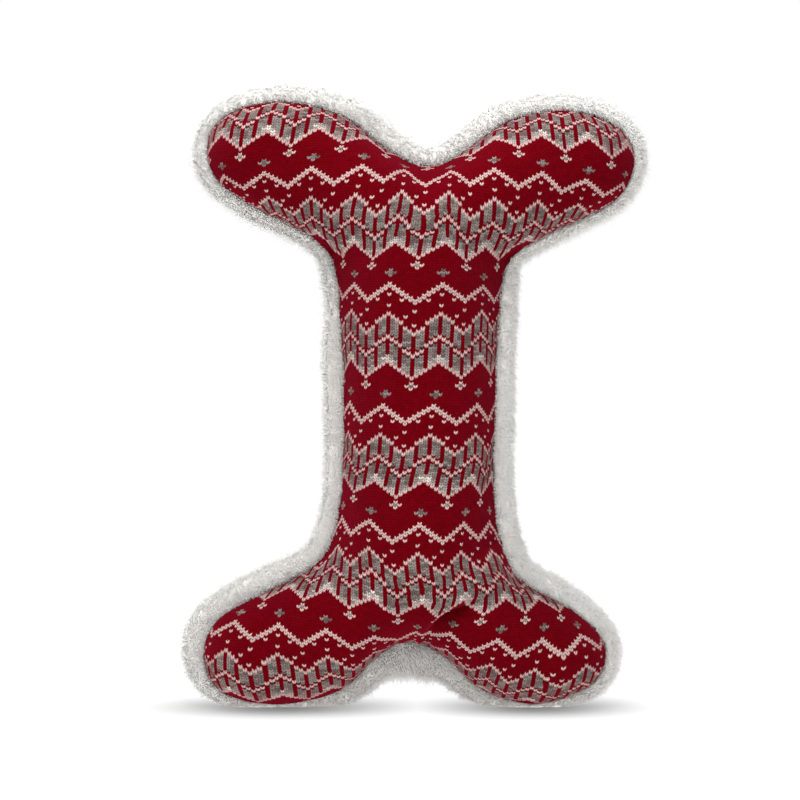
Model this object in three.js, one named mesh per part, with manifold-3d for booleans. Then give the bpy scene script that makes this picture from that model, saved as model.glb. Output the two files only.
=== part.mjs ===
import * as THREE from "three";
import { mergeVertices } from "three/addons/utils/BufferGeometryUtils.js";
import Module from "manifold-3d";

// A bone-shaped stuffed dog toy that stands on its two lower lobes.
// Millimetres, +Z up, knitted front towards -Y, plush back towards +Y.
// Outline places are (x, z) in the flat plane of the seam, which is y = 0 while the pieces are made.

const wasm = await Module();
wasm.setup();

// Driving sizes of the sewn body, measured from seam to seam
const waistWidth = 79;
const waistLength = 135;
const upperLeftReach = 106;
const upperLeftRise = 80;
const upperRightReach = 105.5;
const upperRightRise = 75.5;
const lowerLeftReach = 109;
const lowerRightReach = 93.5;
const lowerLobeDrop = 85;
const notchRise = 49;
const archRise = 54;
const soleClearance = 3;

// Half depths of the stuffed body, seam plane to crown
const waistHalfDepth = 36;
const hubHalfDepth = 40;
const lobeHalfDepth = 31;

// Cloth, pile and seam
const knitThickness = 2;
const backingThickness = 1.5;
const pileLength = 8.5;
const seamAllowance = 7;
const allowanceThickness = 1.2;
const lipDepth = 6;
const fitGap = 0.3;
const seamThreadRadius = 0.35;
const closingThreadRadius = 0.3;
const closingStitchPitch = 5;
const closingStitchHeight = 2.7;
const closingRoom = 1.4;

// Squeaker, a pleated bulb with a reed plug in its neck
const bulbRadius = 24;
const bulbLength = 26;
const bulbWall = 1.2;
const bulbShoulder = 5;
const pleatDepth = 4.5;
const pleatHalfWidth = 3;
const neckLength = 5;
const neckWall = 1.7;
const plugRadius = 6;
const plugWall = 1.3;
const plugLength = 12;
const plugFlangeRadius = 9.5;
const plugFlangeThickness = 1.5;
const plugToKnit = 3.2;
const seatLength = 10.5;
const channelWidth = 2.4;
const channelDepth = 1.5;
const reedLength = 9.5;
const reedWidth = 5.6;
const reedThickness = 0.25;
const wedgeLength = 4;
const wellClearance = 0.5;

// Counts that set how finely the surfaces are divided
const sideSteps = 6;
const tipSteps = 10;
const waistSteps = 8;
const outerSteps = 5;
const innerSteps = 3;
const roundSegments = 24;
const plugSegments = 16;
const sectionSamples = 160;
const closingStepsPerStitch = 4;
const closingSides = 5;
const turningGapStart = 2;
const turningGapStations = 5;

// Places along each lobe's edge, from the hollow at the body's end, round the tip, to the armpit.
// Each is a share of the lobe's reach and a share of its rise or drop from the armpit.
const upperLeftEdgeShares = [
  [0.198, 0.75], [0.344, 0.9], [0.486, 0.969], [0.632, 1], [0.778, 0.978], [0.901, 0.931], [0.972, 0.838],
  [1, 0.71], [0.965, 0.54], [0.825, 0.388], [0.618, 0.244], [0.5, 0.15], [0.42, 0.02],
];
const upperRightEdgeShares = [
  [0.118, 0.669], [0.213, 0.748], [0.3, 0.84], [0.403, 0.94], [0.569, 0.993], [0.687, 1], [0.806, 0.974],
  [0.915, 0.901], [0.985, 0.79], [1, 0.68], [0.962, 0.497], [0.882, 0.384], [0.758, 0.298], [0.607, 0.199],
  [0.498, 0.113], [0.41, 0.02],
];
const lowerLeftEdgeShares = [
  [0.11, 0.66], [0.202, 0.72], [0.303, 0.854], [0.413, 0.94], [0.532, 0.982], [0.68, 1], [0.81, 0.985],
  [0.93, 0.925], [0.985, 0.83], [1, 0.69], [0.96, 0.54], [0.872, 0.446], [0.683, 0.315], [0.55, 0.226],
  [0.472, 0.15], [0.42, 0.04],
];
const lowerRightEdgeShares = [
  [0.059, 0.69], [0.144, 0.737], [0.219, 0.819], [0.294, 0.895], [0.417, 0.959], [0.519, 0.995], [0.652, 1],
  [0.791, 0.959], [0.893, 0.906], [0.971, 0.819], [1, 0.719], [0.965, 0.6], [0.877, 0.503], [0.674, 0.363],
  [0.572, 0.298], [0.5, 0.225], [0.46, 0.123], [0.43, 0.03],
];

// Places along the waist's edges: a share of the waist's width, and of its length from the lower armpits
const leftWaistEdgeShares = [[-0.52, 0.8], [-0.497, 0.485], [-0.517, 0.15]];
const rightWaistEdgeShares = [[0.475, 0.15], [0.478, 0.45], [0.502, 0.8]];

// Shares that place the inner lines of the body, its pile and its lip
const waistCentreShare = -0.013;
const upperHubShare = 0.41;
const lowerHubShare = 0.44;
const lobeCentreReachShare = 0.705;
const lobeCentreRiseShare = 0.675;
const archSideShare = -0.06;
const crownPileShare = 0.65;
const lipOuterShare = 0.72;
const lipCrestShare = 0.35;
const lipShoulderShare = 0.75;
const lipFootShare = 0.7;
const stitchLineShare = 0.75;
const hollowEasingPasses = 2;

// Heights that follow from the driving sizes
const lowerArmpitZ = soleClearance + lowerLobeDrop;
const upperArmpitZ = lowerArmpitZ + waistLength;
const notchZ = upperArmpitZ + notchRise;
const archZ = lowerArmpitZ - archRise;
const waistCentreX = waistWidth * waistCentreShare;
const archX = waistWidth * archSideShare;

// Names of the two straight stretches of the edge
const leftWaist = "left waist";
const rightWaist = "right waist";

// The four lobes, in the order that the outline passes them
const upperLeft = makeLobe(-1, 1, upperLeftReach, upperLeftRise, upperArmpitZ, upperLeftEdgeShares);
const lowerLeft = makeLobe(-1, -1, lowerLeftReach, lowerLobeDrop, lowerArmpitZ, lowerLeftEdgeShares);
const lowerRight = makeLobe(1, -1, lowerRightReach, lowerLobeDrop, lowerArmpitZ, lowerRightEdgeShares);
const upperRight = makeLobe(1, 1, upperRightReach, upperRightRise, upperArmpitZ, upperRightEdgeShares);
const upperHub = new THREE.Vector2(waistCentreX, upperArmpitZ + notchRise * upperHubShare);
const lowerHub = new THREE.Vector2(waistCentreX, lowerArmpitZ - archRise * lowerHubShare);

function makeLobe(side, lift, reach, rise, armpitZ, edgeShares) {
  const place = ([across, up]) => new THREE.Vector2(side * reach * across, armpitZ + lift * rise * up);
  return {
    side,
    lift,
    edge: edgeShares.map(place),
    centre: place([lobeCentreReachShare, lobeCentreRiseShare]),
  };
}

function waistEdge(edgeShares) {
  const place = ([across, up]) => new THREE.Vector2(waistWidth * across, lowerArmpitZ + waistLength * up);
  return edgeShares.map(place);
}

// The closed edge of the sewn panels, as named runs of one smooth curve.
// It starts in the notch and goes down the left side, through the arch and up the right side.
function outlineRuns() {
  const notch = new THREE.Vector2(0, notchZ);
  const arch = new THREE.Vector2(archX, archZ);
  const legs = [
    { lobe: upperLeft, hub: upperHub, points: [notch, ...upperLeft.edge] },
    { part: leftWaist, points: waistEdge(leftWaistEdgeShares) },
    { lobe: lowerLeft, hub: lowerHub, points: [...lowerLeft.edge].reverse() },
    { lobe: lowerRight, hub: lowerHub, points: [arch, ...lowerRight.edge] },
    { part: rightWaist, points: waistEdge(rightWaistEdgeShares) },
    { lobe: upperRight, hub: upperHub, points: [...upperRight.edge].reverse() },
  ];
  const places = legs.flatMap((leg) => leg.points).map((p) => new THREE.Vector3(p.x, 0, p.y));
  const curve = new THREE.CatmullRomCurve3(places, true, "centripetal");
  const startOf = (k) => legs.slice(0, k).reduce((sum, leg) => sum + leg.points.length, 0);
  return legs.map((leg, k) => {
    // A lobe's run ends on its last armpit point or starts on its first one; a waist's run spans the rest.
    const first = leg.lobe ? startOf(k) : startOf(k) - 1;
    const nextIsWaist = k + 1 < legs.length && !legs[k + 1].lobe;
    const last = nextIsWaist ? startOf(k + 1) - 1 : startOf(k + 1);
    const samples = [];
    for (let i = 0; i <= sectionSamples; i += 1) {
      const share = (first + ((last - first) * i) / sectionSamples) / places.length;
      const point = curve.getPoint(share);
      samples.push(new THREE.Vector2(point.x, point.z));
    }
    return { ...leg, samples };
  });
}

// Points at equal steps along a sampled line, without its last one
function evenPoints(samples, steps) {
  const reached = [0];
  for (let i = 1; i < samples.length; i += 1) {
    reached.push(reached[i - 1] + samples[i].distanceTo(samples[i - 1]));
  }
  const whole = reached[reached.length - 1];
  const points = [];
  let at = 0;
  for (let k = 0; k < steps; k += 1) {
    const wanted = (whole * k) / steps;
    while (reached[at + 1] < wanted) at += 1;
    const share = (wanted - reached[at]) / (reached[at + 1] - reached[at]);
    points.push(samples[at].clone().lerp(samples[at + 1], share));
  }
  return points;
}

function halfDepthAlongArm(share) {
  return THREE.MathUtils.lerp(hubHalfDepth, lobeHalfDepth, THREE.MathUtils.smoothstep(share, 0, 1));
}

function halfDepthAlongWaist(share) {
  const fromMiddle = Math.abs(2 * share - 1);
  return THREE.MathUtils.lerp(waistHalfDepth, hubHalfDepth, THREE.MathUtils.smoothstep(fromMiddle, 0, 1));
}

// Stations along the edge. Each knows its point on the body's spine and the half depth there.
// Stations on both sides of an arm or of the waist share their spine points, which closes the surface.
function makeStations() {
  const stations = [];
  const add = (rim, spine, halfDepth, spineKey, part) => {
    stations.push({ rim, spine, halfDepth, spineKey, part });
  };
  outlineRuns().forEach((run) => {
    if (!run.lobe) {
      const downwards = run.part === leftWaist;
      evenPoints(run.samples, waistSteps).forEach((rim, k) => {
        const share = downwards ? 1 - k / waistSteps : k / waistSteps;
        const step = Math.round(share * waistSteps);
        const spine = lowerHub.clone().lerp(upperHub, share);
        const key = step === waistSteps ? "upperHub" : step === 0 ? "lowerHub" : `waist${step}`;
        add(rim, spine, halfDepthAlongWaist(share), key, run.part);
      });
      return;
    }
    const { lobe, hub, samples } = run;
    const arm = lobe.centre.clone().sub(hub);
    const ahead = (p) => p.clone().sub(lobe.centre).dot(arm) > 0;
    const tipStart = samples.findIndex(ahead);
    const tipEnd = samples.length - 1 - [...samples].reverse().findIndex(ahead);
    const hubKey = hub === upperHub ? "upperHub" : "lowerHub";
    const armKey = `lobe${lobe.side}${lobe.lift}`;
    const addArm = (part, outwards) => {
      evenPoints(part, sideSteps).forEach((rim, k) => {
        const share = outwards ? k / sideSteps : 1 - k / sideSteps;
        const step = Math.round(share * sideSteps);
        const key = step === 0 ? hubKey : `${armKey}step${step}`;
        add(rim, hub.clone().lerp(lobe.centre, share), halfDepthAlongArm(share), key, armKey);
      });
    };
    addArm(samples.slice(0, tipStart + 1), true);
    evenPoints(samples.slice(tipStart, tipEnd + 1), tipSteps).forEach((rim) => {
      add(rim, lobe.centre.clone(), lobeHalfDepth, `${armKey}step${sideSteps}`, armKey);
    });
    addArm(samples.slice(tipEnd), false);
  });
  addInwardDirections(stations);
  addPileEdge(stations);
  return stations;
}

// At each station, the direction in the seam plane that points into the body
function addInwardDirections(stations) {
  stations.forEach((station, i) => {
    const before = stations[(i + stations.length - 1) % stations.length].rim;
    const after = stations[(i + 1) % stations.length].rim;
    const along = after.clone().sub(before).normalize();
    station.inward = new THREE.Vector2(-along.y, along.x);
    station.hollow = after.clone().sub(station.rim).cross(station.rim.clone().sub(before)) > 0;
  });
}

// The edge of the pile stands out from the seam, less on the crown than at the sides, eased in the hollows
function addPileEdge(stations) {
  stations.forEach((station) => {
    const upwards = Math.max(0, -station.inward.y);
    station.pile = pileLength * THREE.MathUtils.lerp(1, crownPileShare, upwards * upwards);
    station.pileRim = station.rim.clone().addScaledVector(station.inward, -station.pile);
  });
  for (let pass = 0; pass < hollowEasingPasses; pass += 1) {
    const eased = stations.map((station, i) => {
      if (!station.hollow) return station.pileRim;
      const before = stations[(i + stations.length - 1) % stations.length].pileRim;
      const after = stations[(i + 1) % stations.length].pileRim;
      return before.clone().add(after).multiplyScalar(1 / 2).add(station.pileRim).multiplyScalar(1 / 2);
    });
    eased.forEach((pileRim, i) => {
      stations[i].pileRim = pileRim;
    });
  }
}

// One ring of points round the body at height y, set in from the seam by a distance, fixed or by station
function rimRing(stations, y, inset) {
  return stations.map((station) => {
    const distance = typeof inset === "function" ? inset(station) : inset;
    const place = station.rim.clone().addScaledVector(station.inward, distance);
    return new THREE.Vector3(place.x, y, Math.max(0, place.y));
  });
}

// Rings that rise from an edge to the spine as quarter ellipses, and the spine points that close them
function domeRings(stations, side, steps, edgeOf, depthOf) {
  const rings = [];
  for (let k = 1; k < steps; k += 1) {
    const angle = (Math.PI / 2) * (k / steps);
    rings.push(stations.map((s) => domePoint(edgeOf(s), s, side * depthOf(s), angle)));
  }
  return { rings, spine: spineLine(stations, side, depthOf) };
}

function domePoint(edge, station, depth, angle) {
  const place = edge.clone().lerp(station.spine, 1 - Math.cos(angle));
  return new THREE.Vector3(place.x, depth * Math.sin(angle), Math.max(0, place.y));
}

function spineLine(stations, side, depthOf) {
  return stations.map((station) => ({
    key: station.spineKey,
    place: new THREE.Vector3(station.spine.x, side * depthOf(station), station.spine.y),
  }));
}

// The same rings, moved into the body square to the sewn surface, for a panel's inner face or the stuffing
function insetDomeRings(stations, side, steps, distance) {
  const rings = [];
  for (let k = 1; k < steps; k += 1) {
    const angle = (Math.PI / 2) * (k / steps);
    const base = stations.map((station) => domePoint(station.rim, station, side * station.halfDepth, angle));
    rings.push(base.map((point, i) => {
      const station = stations[i];
      const before = base[(i + base.length - 1) % base.length];
      const around = base[(i + 1) % base.length].clone().sub(before);
      const inwards = station.spine.clone().sub(station.rim).multiplyScalar(Math.sin(angle));
      const rising = new THREE.Vector3(inwards.x, side * station.halfDepth * Math.cos(angle), inwards.y);
      const square = around.cross(rising).normalize().multiplyScalar(side * distance);
      return point.clone().add(square);
    }));
  }
  return { rings, spine: spineLine(stations, side, (station) => station.halfDepth - distance) };
}

// A closed surface through rings of stations, ended by a spine at its start and at its end
function closedSurface(startSpine, rings, endSpine) {
  const positions = [];
  const indices = [];
  const addPoint = (p) => positions.push(p.x, p.y, p.z) / 3 - 1;
  const spineIndices = (spine) => {
    const known = new Map();
    return spine.map(({ key, place }) => {
      if (!known.has(key)) known.set(key, addPoint(place));
      return known.get(key);
    });
  };
  const pointAt = (index) => new THREE.Vector3().fromArray(positions, 3 * index);
  const addTriangle = (p, q, r) => {
    if (p !== q && q !== r && r !== p) indices.push(p, q, r);
  };
  const addBand = (a, b) => {
    for (let i = 0; i < a.length; i += 1) {
      const j = (i + 1) % a.length;
      // A skewed face is split along its shorter diagonal, so neighbouring surfaces crease alike.
      const forward = pointAt(a[i]).distanceTo(pointAt(b[j]));
      const backward = pointAt(b[i]).distanceTo(pointAt(a[j]));
      const middle = forward < backward ? [a[i], b[j]] : [b[i], a[j]];
      addTriangle(a[i], b[i], middle[1]);
      addTriangle(middle[0], b[j], a[j]);
    }
  };
  const between = rings.map((ring) => ring.map(addPoint));
  const lines = [spineIndices(startSpine), ...between, spineIndices(endSpine)];
  for (let k = 0; k + 1 < lines.length; k += 1) addBand(lines[k], lines[k + 1]);
  return indexedGeometry(positions, indices);
}

function indexedGeometry(positions, indices) {
  const geometry = new THREE.BufferGeometry();
  geometry.setAttribute("position", new THREE.Float32BufferAttribute(positions, 3));
  geometry.setIndex(indices);
  geometry.computeVertexNormals();
  return geometry;
}

// Places across the seam: the two turned-in allowances lie face to face with the fitting gap between them
const seamFace = fitGap / 2;
const allowanceFace = seamFace + allowanceThickness;
const threadRoom = 2 * seamThreadRadius + 2 * fitGap;
const grooveFace = allowanceFace + threadRoom;

function frontPanelGeometry(stations) {
  const outer = domeRings(stations, -1, outerSteps, (s) => s.rim, (s) => s.halfDepth);
  const inner = insetDomeRings(stations, -1, innerSteps, knitThickness);
  const rings = [
    ...[...outer.rings].reverse(),
    rimRing(stations, -seamFace, 0),
    rimRing(stations, -seamFace, seamAllowance),
    rimRing(stations, -allowanceFace, seamAllowance),
    rimRing(stations, -allowanceFace, knitThickness),
    rimRing(stations, -grooveFace, knitThickness),
    ...inner.rings,
  ];
  return closedSurface(outer.spine, rings, inner.spine);
}

// The plush back: its outer face is the tips of the pile, and its lip wraps forward round the knit's edge
function backPanelGeometry(stations) {
  const outer = domeRings(stations, 1, outerSteps, (s) => s.pileRim, (s) => s.halfDepth + pileLength);
  const inner = insetDomeRings(stations, 1, innerSteps, backingThickness);
  const lipRoom = (s) => -(s.closing ? closingRoom : fitGap);
  const rings = [
    ...inner.rings.slice().reverse(),
    rimRing(stations, grooveFace, backingThickness),
    rimRing(stations, allowanceFace, backingThickness),
    rimRing(stations, allowanceFace, seamAllowance),
    rimRing(stations, seamFace, seamAllowance),
    rimRing(stations, seamFace, lipRoom),
    rimRing(stations, -lipDepth * lipFootShare, lipRoom),
    pileRing(stations, -lipDepth, lipCrestShare),
    pileRing(stations, -lipDepth * lipShoulderShare, lipOuterShare),
    pileRing(stations, 0, 1),
    ...outer.rings,
  ];
  return closedSurface(inner.spine, rings, outer.spine);
}

// A ring between the seam and the pile's edge, pressed flat on the floor
function pileRing(stations, y, share) {
  return stations.map((station) => {
    const place = station.rim.clone().lerp(station.pileRim, share);
    return new THREE.Vector3(place.x, y, Math.max(0, place.y));
  });
}

// The stuffing fills the panels and is grooved round the turned-in allowances and the seam's threads
function stuffingGeometry(stations) {
  const front = insetDomeRings(stations, -1, innerSteps, knitThickness + fitGap);
  const back = insetDomeRings(stations, 1, innerSteps, backingThickness + fitGap);
  const rings = [
    ...front.rings.slice().reverse(),
    rimRing(stations, -grooveFace, knitThickness + fitGap),
    rimRing(stations, -grooveFace, seamAllowance + fitGap),
    rimRing(stations, grooveFace, seamAllowance + fitGap),
    rimRing(stations, grooveFace, backingThickness + fitGap),
    ...back.rings,
  ];
  return closedSurface(front.spine, rings, back.spine);
}

// A thread that runs all round the seam, on the inner face of one allowance
function seamThreadGeometry(stations, side) {
  const line = seamAllowance * stitchLineShare;
  const y = side * (allowanceFace + fitGap + seamThreadRadius);
  const rings = [
    rimRing(stations, y, line - seamThreadRadius),
    rimRing(stations, y - seamThreadRadius, line),
    rimRing(stations, y, line + seamThreadRadius),
    rimRing(stations, y + seamThreadRadius, line),
  ];
  const positions = rings.flat().flatMap((p) => [p.x, p.y, p.z]);
  const indices = [];
  const count = stations.length;
  for (let r = 0; r < rings.length; r += 1) {
    const a = r * count;
    const b = ((r + 1) % rings.length) * count;
    for (let i = 0; i < count; i += 1) {
      const j = (i + 1) % count;
      indices.push(a + i, a + j, b + j, a + i, b + j, b + i);
    }
  }
  return indexedGeometry(positions, indices);
}

// The ladder stitch that closes the turning gap, in its room between the knit's edge and the lip
function closingThreadGeometry(stations) {
  const gap = stations.filter((station) => station.closing);
  const line = gap.map((station) => {
    const place = station.rim.clone().addScaledVector(station.inward, -closingRoom / 2);
    return new THREE.Vector3(place.x, 0, place.y);
  });
  const route = new THREE.CatmullRomCurve3(line, false, "centripetal");
  const stitches = Math.max(1, Math.floor(route.getLength() / closingStitchPitch));
  const steps = stitches * closingStepsPerStitch;
  const middle = -seamFace - closingThreadRadius - closingStitchHeight / 2;
  const points = [];
  for (let i = 0; i <= steps; i += 1) {
    const point = route.getPointAt(i / steps);
    const swing = Math.cos((2 * Math.PI * i) / closingStepsPerStitch);
    point.y = middle + ((closingStitchHeight - 2 * closingThreadRadius) / 2) * swing;
    points.push(point);
  }
  const section = new THREE.Shape(circlePoints(closingThreadRadius, closingSides));
  const extrudePath = new THREE.CatmullRomCurve3(points);
  return new THREE.ExtrudeGeometry(section, { steps: points.length - 1, bevelEnabled: false, extrudePath });
}

function circlePoints(radius, sides) {
  const points = [];
  for (let i = 0; i < sides; i += 1) {
    const angle = (2 * Math.PI * i) / sides;
    points.push(new THREE.Vector2(radius * Math.cos(angle), radius * Math.sin(angle)));
  }
  return points;
}

// Solids for cuts: geometry without normals or uvs, with its shared points merged
function solidOf(geometry) {
  const bare = geometry.clone();
  bare.deleteAttribute("normal");
  bare.deleteAttribute("uv");
  const merged = mergeVertices(bare);
  return new wasm.Manifold(new wasm.Mesh({
    numProp: 3,
    vertProperties: Float32Array.from(merged.attributes.position.array),
    triVerts: Uint32Array.from(merged.index.array),
  }));
}

function geometryOf(solid) {
  const mesh = solid.getMesh();
  return indexedGeometry(Array.from(mesh.vertProperties), Array.from(mesh.triVerts));
}

// A block right through the toy's depth between two heights, from x = minX to x = maxX
function blockGeometry(minX, maxX, minZ, maxZ) {
  const depth = 2 * (hubHalfDepth + pileLength);
  const block = new THREE.BoxGeometry(maxX - minX, depth, maxZ - minZ);
  return block.translate((minX + maxX) / 2, 0, (minZ + maxZ) / 2);
}

// The waist's stuffing lies between the armpits
function waistBlock() {
  return blockGeometry(-waistWidth, waistWidth, lowerArmpitZ, upperArmpitZ);
}

// A lobe's stuffing lies beyond the armpits, on its own side of the body's middle
function lobeBlock(side, lift) {
  const reach = upperLeftReach + lowerLeftReach;
  const height = notchZ + upperLeftRise;
  const inner = waistCentreX + (side * fitGap) / 2;
  const outer = inner + side * reach;
  const start = lift > 0 ? upperArmpitZ + fitGap : lowerArmpitZ - fitGap;
  const end = start + lift * height;
  const [minX, maxX] = side > 0 ? [inner, outer] : [outer, inner];
  const [minZ, maxZ] = lift > 0 ? [start, end] : [end, start];
  return blockGeometry(minX, maxX, minZ, maxZ);
}

// The squeaker's place: its axis runs along Y through the middle of the waist, its plug towards the knit
const squeakerZ = lowerArmpitZ + waistLength / 2;
const plugFrontY = -(waistHalfDepth - knitThickness - plugToKnit);
const neckFrontY = plugFrontY + plugFlangeThickness + fitGap;
const bulbFrontY = neckFrontY + neckLength;
const bulbBackY = bulbFrontY + bulbLength;
const neckBore = plugRadius + fitGap;

// Turns a profile of [radius, distance forward of the bulb's back] round the squeaker's axis
function turned(profile, segments) {
  const points = profile.map(([radius, forward]) => new THREE.Vector2(radius, -forward)).reverse();
  return new THREE.LatheGeometry(points, segments).translate(0, bulbBackY, 0);
}

function bulbGeometry() {
  const middle = bulbLength / 2;
  const faceRadius = bulbRadius - bulbShoulder;
  const outside = [
    [faceRadius, 0], [bulbRadius, bulbShoulder], [bulbRadius, middle - pleatHalfWidth],
    [bulbRadius - pleatDepth, middle], [bulbRadius, middle + pleatHalfWidth],
    [bulbRadius, bulbLength - bulbShoulder], [faceRadius, bulbLength],
  ];
  const inside = outside.map(([radius, forward]) => {
    const inward = forward === 0 ? bulbWall : forward === bulbLength ? -bulbWall : 0;
    return [radius - bulbWall, forward + inward];
  });
  const neckEnd = bulbLength + neckLength;
  return turned([
    [0, 0], ...outside, [neckBore + neckWall, bulbLength], [neckBore + neckWall, neckEnd],
    [neckBore, neckEnd], [neckBore, bulbLength - bulbWall], ...inside.reverse(), [0, bulbWall],
  ], roundSegments);
}

// The plug's shell: a flange on the neck's end and a tube that reaches into the bulb
function plugShellGeometry() {
  const flangeBack = bulbLength + neckLength + fitGap;
  const front = flangeBack + plugFlangeThickness;
  const inner = plugRadius - plugWall;
  const end = front - plugLength;
  return turned([
    [inner, end], [plugRadius, end], [plugRadius, flangeBack], [plugFlangeRadius, flangeBack],
    [plugFlangeRadius, front], [inner, front], [inner, end],
  ], plugSegments);
}

// Inside the shell: a half-round seat with an air channel, the reed over it, and a wedge on the reed's root
const boreRadius = plugRadius - plugWall - fitGap;
const seatTop = -reedThickness / 2 - fitGap;
const wedgeBottom = reedThickness / 2 + fitGap;

function halfRound(radius, level, upper) {
  const start = Math.asin(level / radius);
  const shape = new THREE.Shape();
  if (upper) shape.absarc(0, 0, radius, start, Math.PI - start, false);
  else shape.absarc(0, 0, radius, Math.PI - start, 2 * Math.PI + start, false);
  return shape;
}

// A shape in the plane across the squeaker's axis, drawn out backwards from the plug's front
function drawnBack(shape, length) {
  const options = { depth: length, bevelEnabled: false, curveSegments: plugSegments / 2 };
  return new THREE.ExtrudeGeometry(shape, options).rotateX(Math.PI / 2).translate(0, plugFrontY + length, 0);
}

function reedSeatGeometry() {
  const shape = halfRound(boreRadius, seatTop, false);
  shape.lineTo(channelWidth / 2, seatTop);
  shape.lineTo(channelWidth / 2, seatTop - channelDepth);
  shape.lineTo(-channelWidth / 2, seatTop - channelDepth);
  shape.lineTo(-channelWidth / 2, seatTop);
  shape.closePath();
  return drawnBack(shape, seatLength);
}

function reedWedgeGeometry() {
  return drawnBack(halfRound(boreRadius, wedgeBottom, true), wedgeLength);
}

function reedGeometry() {
  const strip = new THREE.BoxGeometry(reedWidth, reedLength, reedThickness);
  return strip.translate(0, plugFrontY + reedLength / 2, 0);
}

// The well in the stuffing that holds the squeaker, open towards the knit
function wellGeometry() {
  const radius = bulbRadius + wellClearance;
  const depth = bulbBackY + fitGap + hubHalfDepth;
  return new THREE.CylinderGeometry(radius, radius, depth, roundSegments).translate(
    waistCentreX, bulbBackY + fitGap - depth / 2, squeakerZ,
  );
}

const knitMaterial = new THREE.MeshStandardMaterial({ color: 0x8f0f1c, roughness: 0.95 });
const plushMaterial = new THREE.MeshStandardMaterial({ color: 0xe6e6e2, roughness: 1 });
const threadMaterial = new THREE.MeshStandardMaterial({ color: 0xf2f0ea, roughness: 0.7 });
const fibreMaterial = new THREE.MeshStandardMaterial({ color: 0xf4f5f6, roughness: 1 });
const bulbMaterial = new THREE.MeshStandardMaterial({ color: 0xf3efe2, roughness: 0.45 });
const plugMaterial = new THREE.MeshStandardMaterial({ color: 0xd9dde0, roughness: 0.35 });
const reedMaterial = new THREE.MeshStandardMaterial({ color: 0xc9d6dc, roughness: 0.2 });

function namedMesh(name, geometry, material) {
  const mesh = new THREE.Mesh(geometry, material);
  mesh.name = name;
  return mesh;
}

function buildSkins(stations) {
  return [
    namedMesh("front_knit_panel", frontPanelGeometry(stations), knitMaterial),
    namedMesh("back_plush_panel", backPanelGeometry(stations), plushMaterial),
    namedMesh("seam_needle_thread", seamThreadGeometry(stations, -1), threadMaterial),
    namedMesh("seam_bobbin_thread", seamThreadGeometry(stations, 1), threadMaterial),
    namedMesh("closing_thread", closingThreadGeometry(stations), threadMaterial),
  ];
}

function buildStuffing(stations) {
  const whole = solidOf(stuffingGeometry(stations));
  const waist = whole.intersect(solidOf(waistBlock())).subtract(solidOf(wellGeometry()));
  const lobeNames = [
    ["fill_upper_left_lobe", -1, 1], ["fill_upper_right_lobe", 1, 1],
    ["fill_lower_left_lobe", -1, -1], ["fill_lower_right_lobe", 1, -1],
  ];
  return [
    namedMesh("fill_waist", geometryOf(waist), fibreMaterial),
    ...lobeNames.map(([name, side, lift]) => {
      const lobe = whole.intersect(solidOf(lobeBlock(side, lift)));
      return namedMesh(name, geometryOf(lobe), fibreMaterial);
    }),
  ];
}

function buildSqueaker() {
  const squeaker = new THREE.Group();
  squeaker.position.set(waistCentreX, 0, squeakerZ);
  squeaker.add(
    namedMesh("squeaker_bulb", bulbGeometry(), bulbMaterial),
    namedMesh("squeaker_plug_shell", plugShellGeometry(), plugMaterial),
    namedMesh("squeaker_reed_seat", reedSeatGeometry(), plugMaterial),
    namedMesh("squeaker_reed_wedge", reedWedgeGeometry(), plugMaterial),
    namedMesh("squeaker_reed", reedGeometry(), reedMaterial),
  );
  return squeaker;
}

function buildToy() {
  const stations = makeStations();
  const waistStations = stations.filter((station) => station.part === rightWaist);
  waistStations.slice(turningGapStart, turningGapStart + turningGapStations).forEach((station) => {
    station.closing = true;
  });
  const toy = new THREE.Group();
  toy.add(...buildSkins(stations), ...buildStuffing(stations), buildSqueaker());
  // The toy is centred over its resting place: the middle of its width and depth is the origin.
  const box = new THREE.Box3().setFromObject(toy);
  toy.position.set(-(box.min.x + box.max.x) / 2, -(box.min.y + box.max.y) / 2, -box.min.z);
  return toy;
}

const toy = buildToy();

export default toy;
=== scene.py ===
"""A bone-shaped plush dog toy that stands on two of its lobes.

The front is a stranded zigzag knit, the back a long-pile plush whose pile wraps round the knit's edge.
Inside are the seam's threads, the fibre filling and a squeaker.
"""

import math
from functools import partialmethod

import bmesh
import bpy
import numpy as np
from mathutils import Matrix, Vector, noise
from mathutils.bvhtree import BVHTree


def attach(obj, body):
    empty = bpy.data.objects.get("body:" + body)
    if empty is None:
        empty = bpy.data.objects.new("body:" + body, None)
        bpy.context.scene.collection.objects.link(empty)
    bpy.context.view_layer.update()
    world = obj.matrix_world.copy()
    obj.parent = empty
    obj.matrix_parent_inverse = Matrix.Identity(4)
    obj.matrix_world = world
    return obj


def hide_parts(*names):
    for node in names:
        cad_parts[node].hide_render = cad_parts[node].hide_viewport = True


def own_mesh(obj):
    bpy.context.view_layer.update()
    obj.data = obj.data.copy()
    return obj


bl_info = {
    "name": "Bone-shaped plush toy",
    "version": (1, 0, 0),
    "blender": (4, 5, 0),
    "location": "3D View > Sidebar > Plush Toy",
    "description": "Makes a knitted and plush dog toy round its solids",
    "category": "Object",
}

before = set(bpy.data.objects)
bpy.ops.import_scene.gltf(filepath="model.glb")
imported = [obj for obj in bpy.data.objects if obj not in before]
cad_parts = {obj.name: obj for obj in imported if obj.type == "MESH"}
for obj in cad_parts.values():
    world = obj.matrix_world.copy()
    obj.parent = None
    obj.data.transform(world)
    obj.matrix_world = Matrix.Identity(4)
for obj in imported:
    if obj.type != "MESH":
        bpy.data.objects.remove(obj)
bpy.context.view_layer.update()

MM = 0.001
BODY = "stuffed_body"
SEAM_Y = -4.25 * MM

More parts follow.
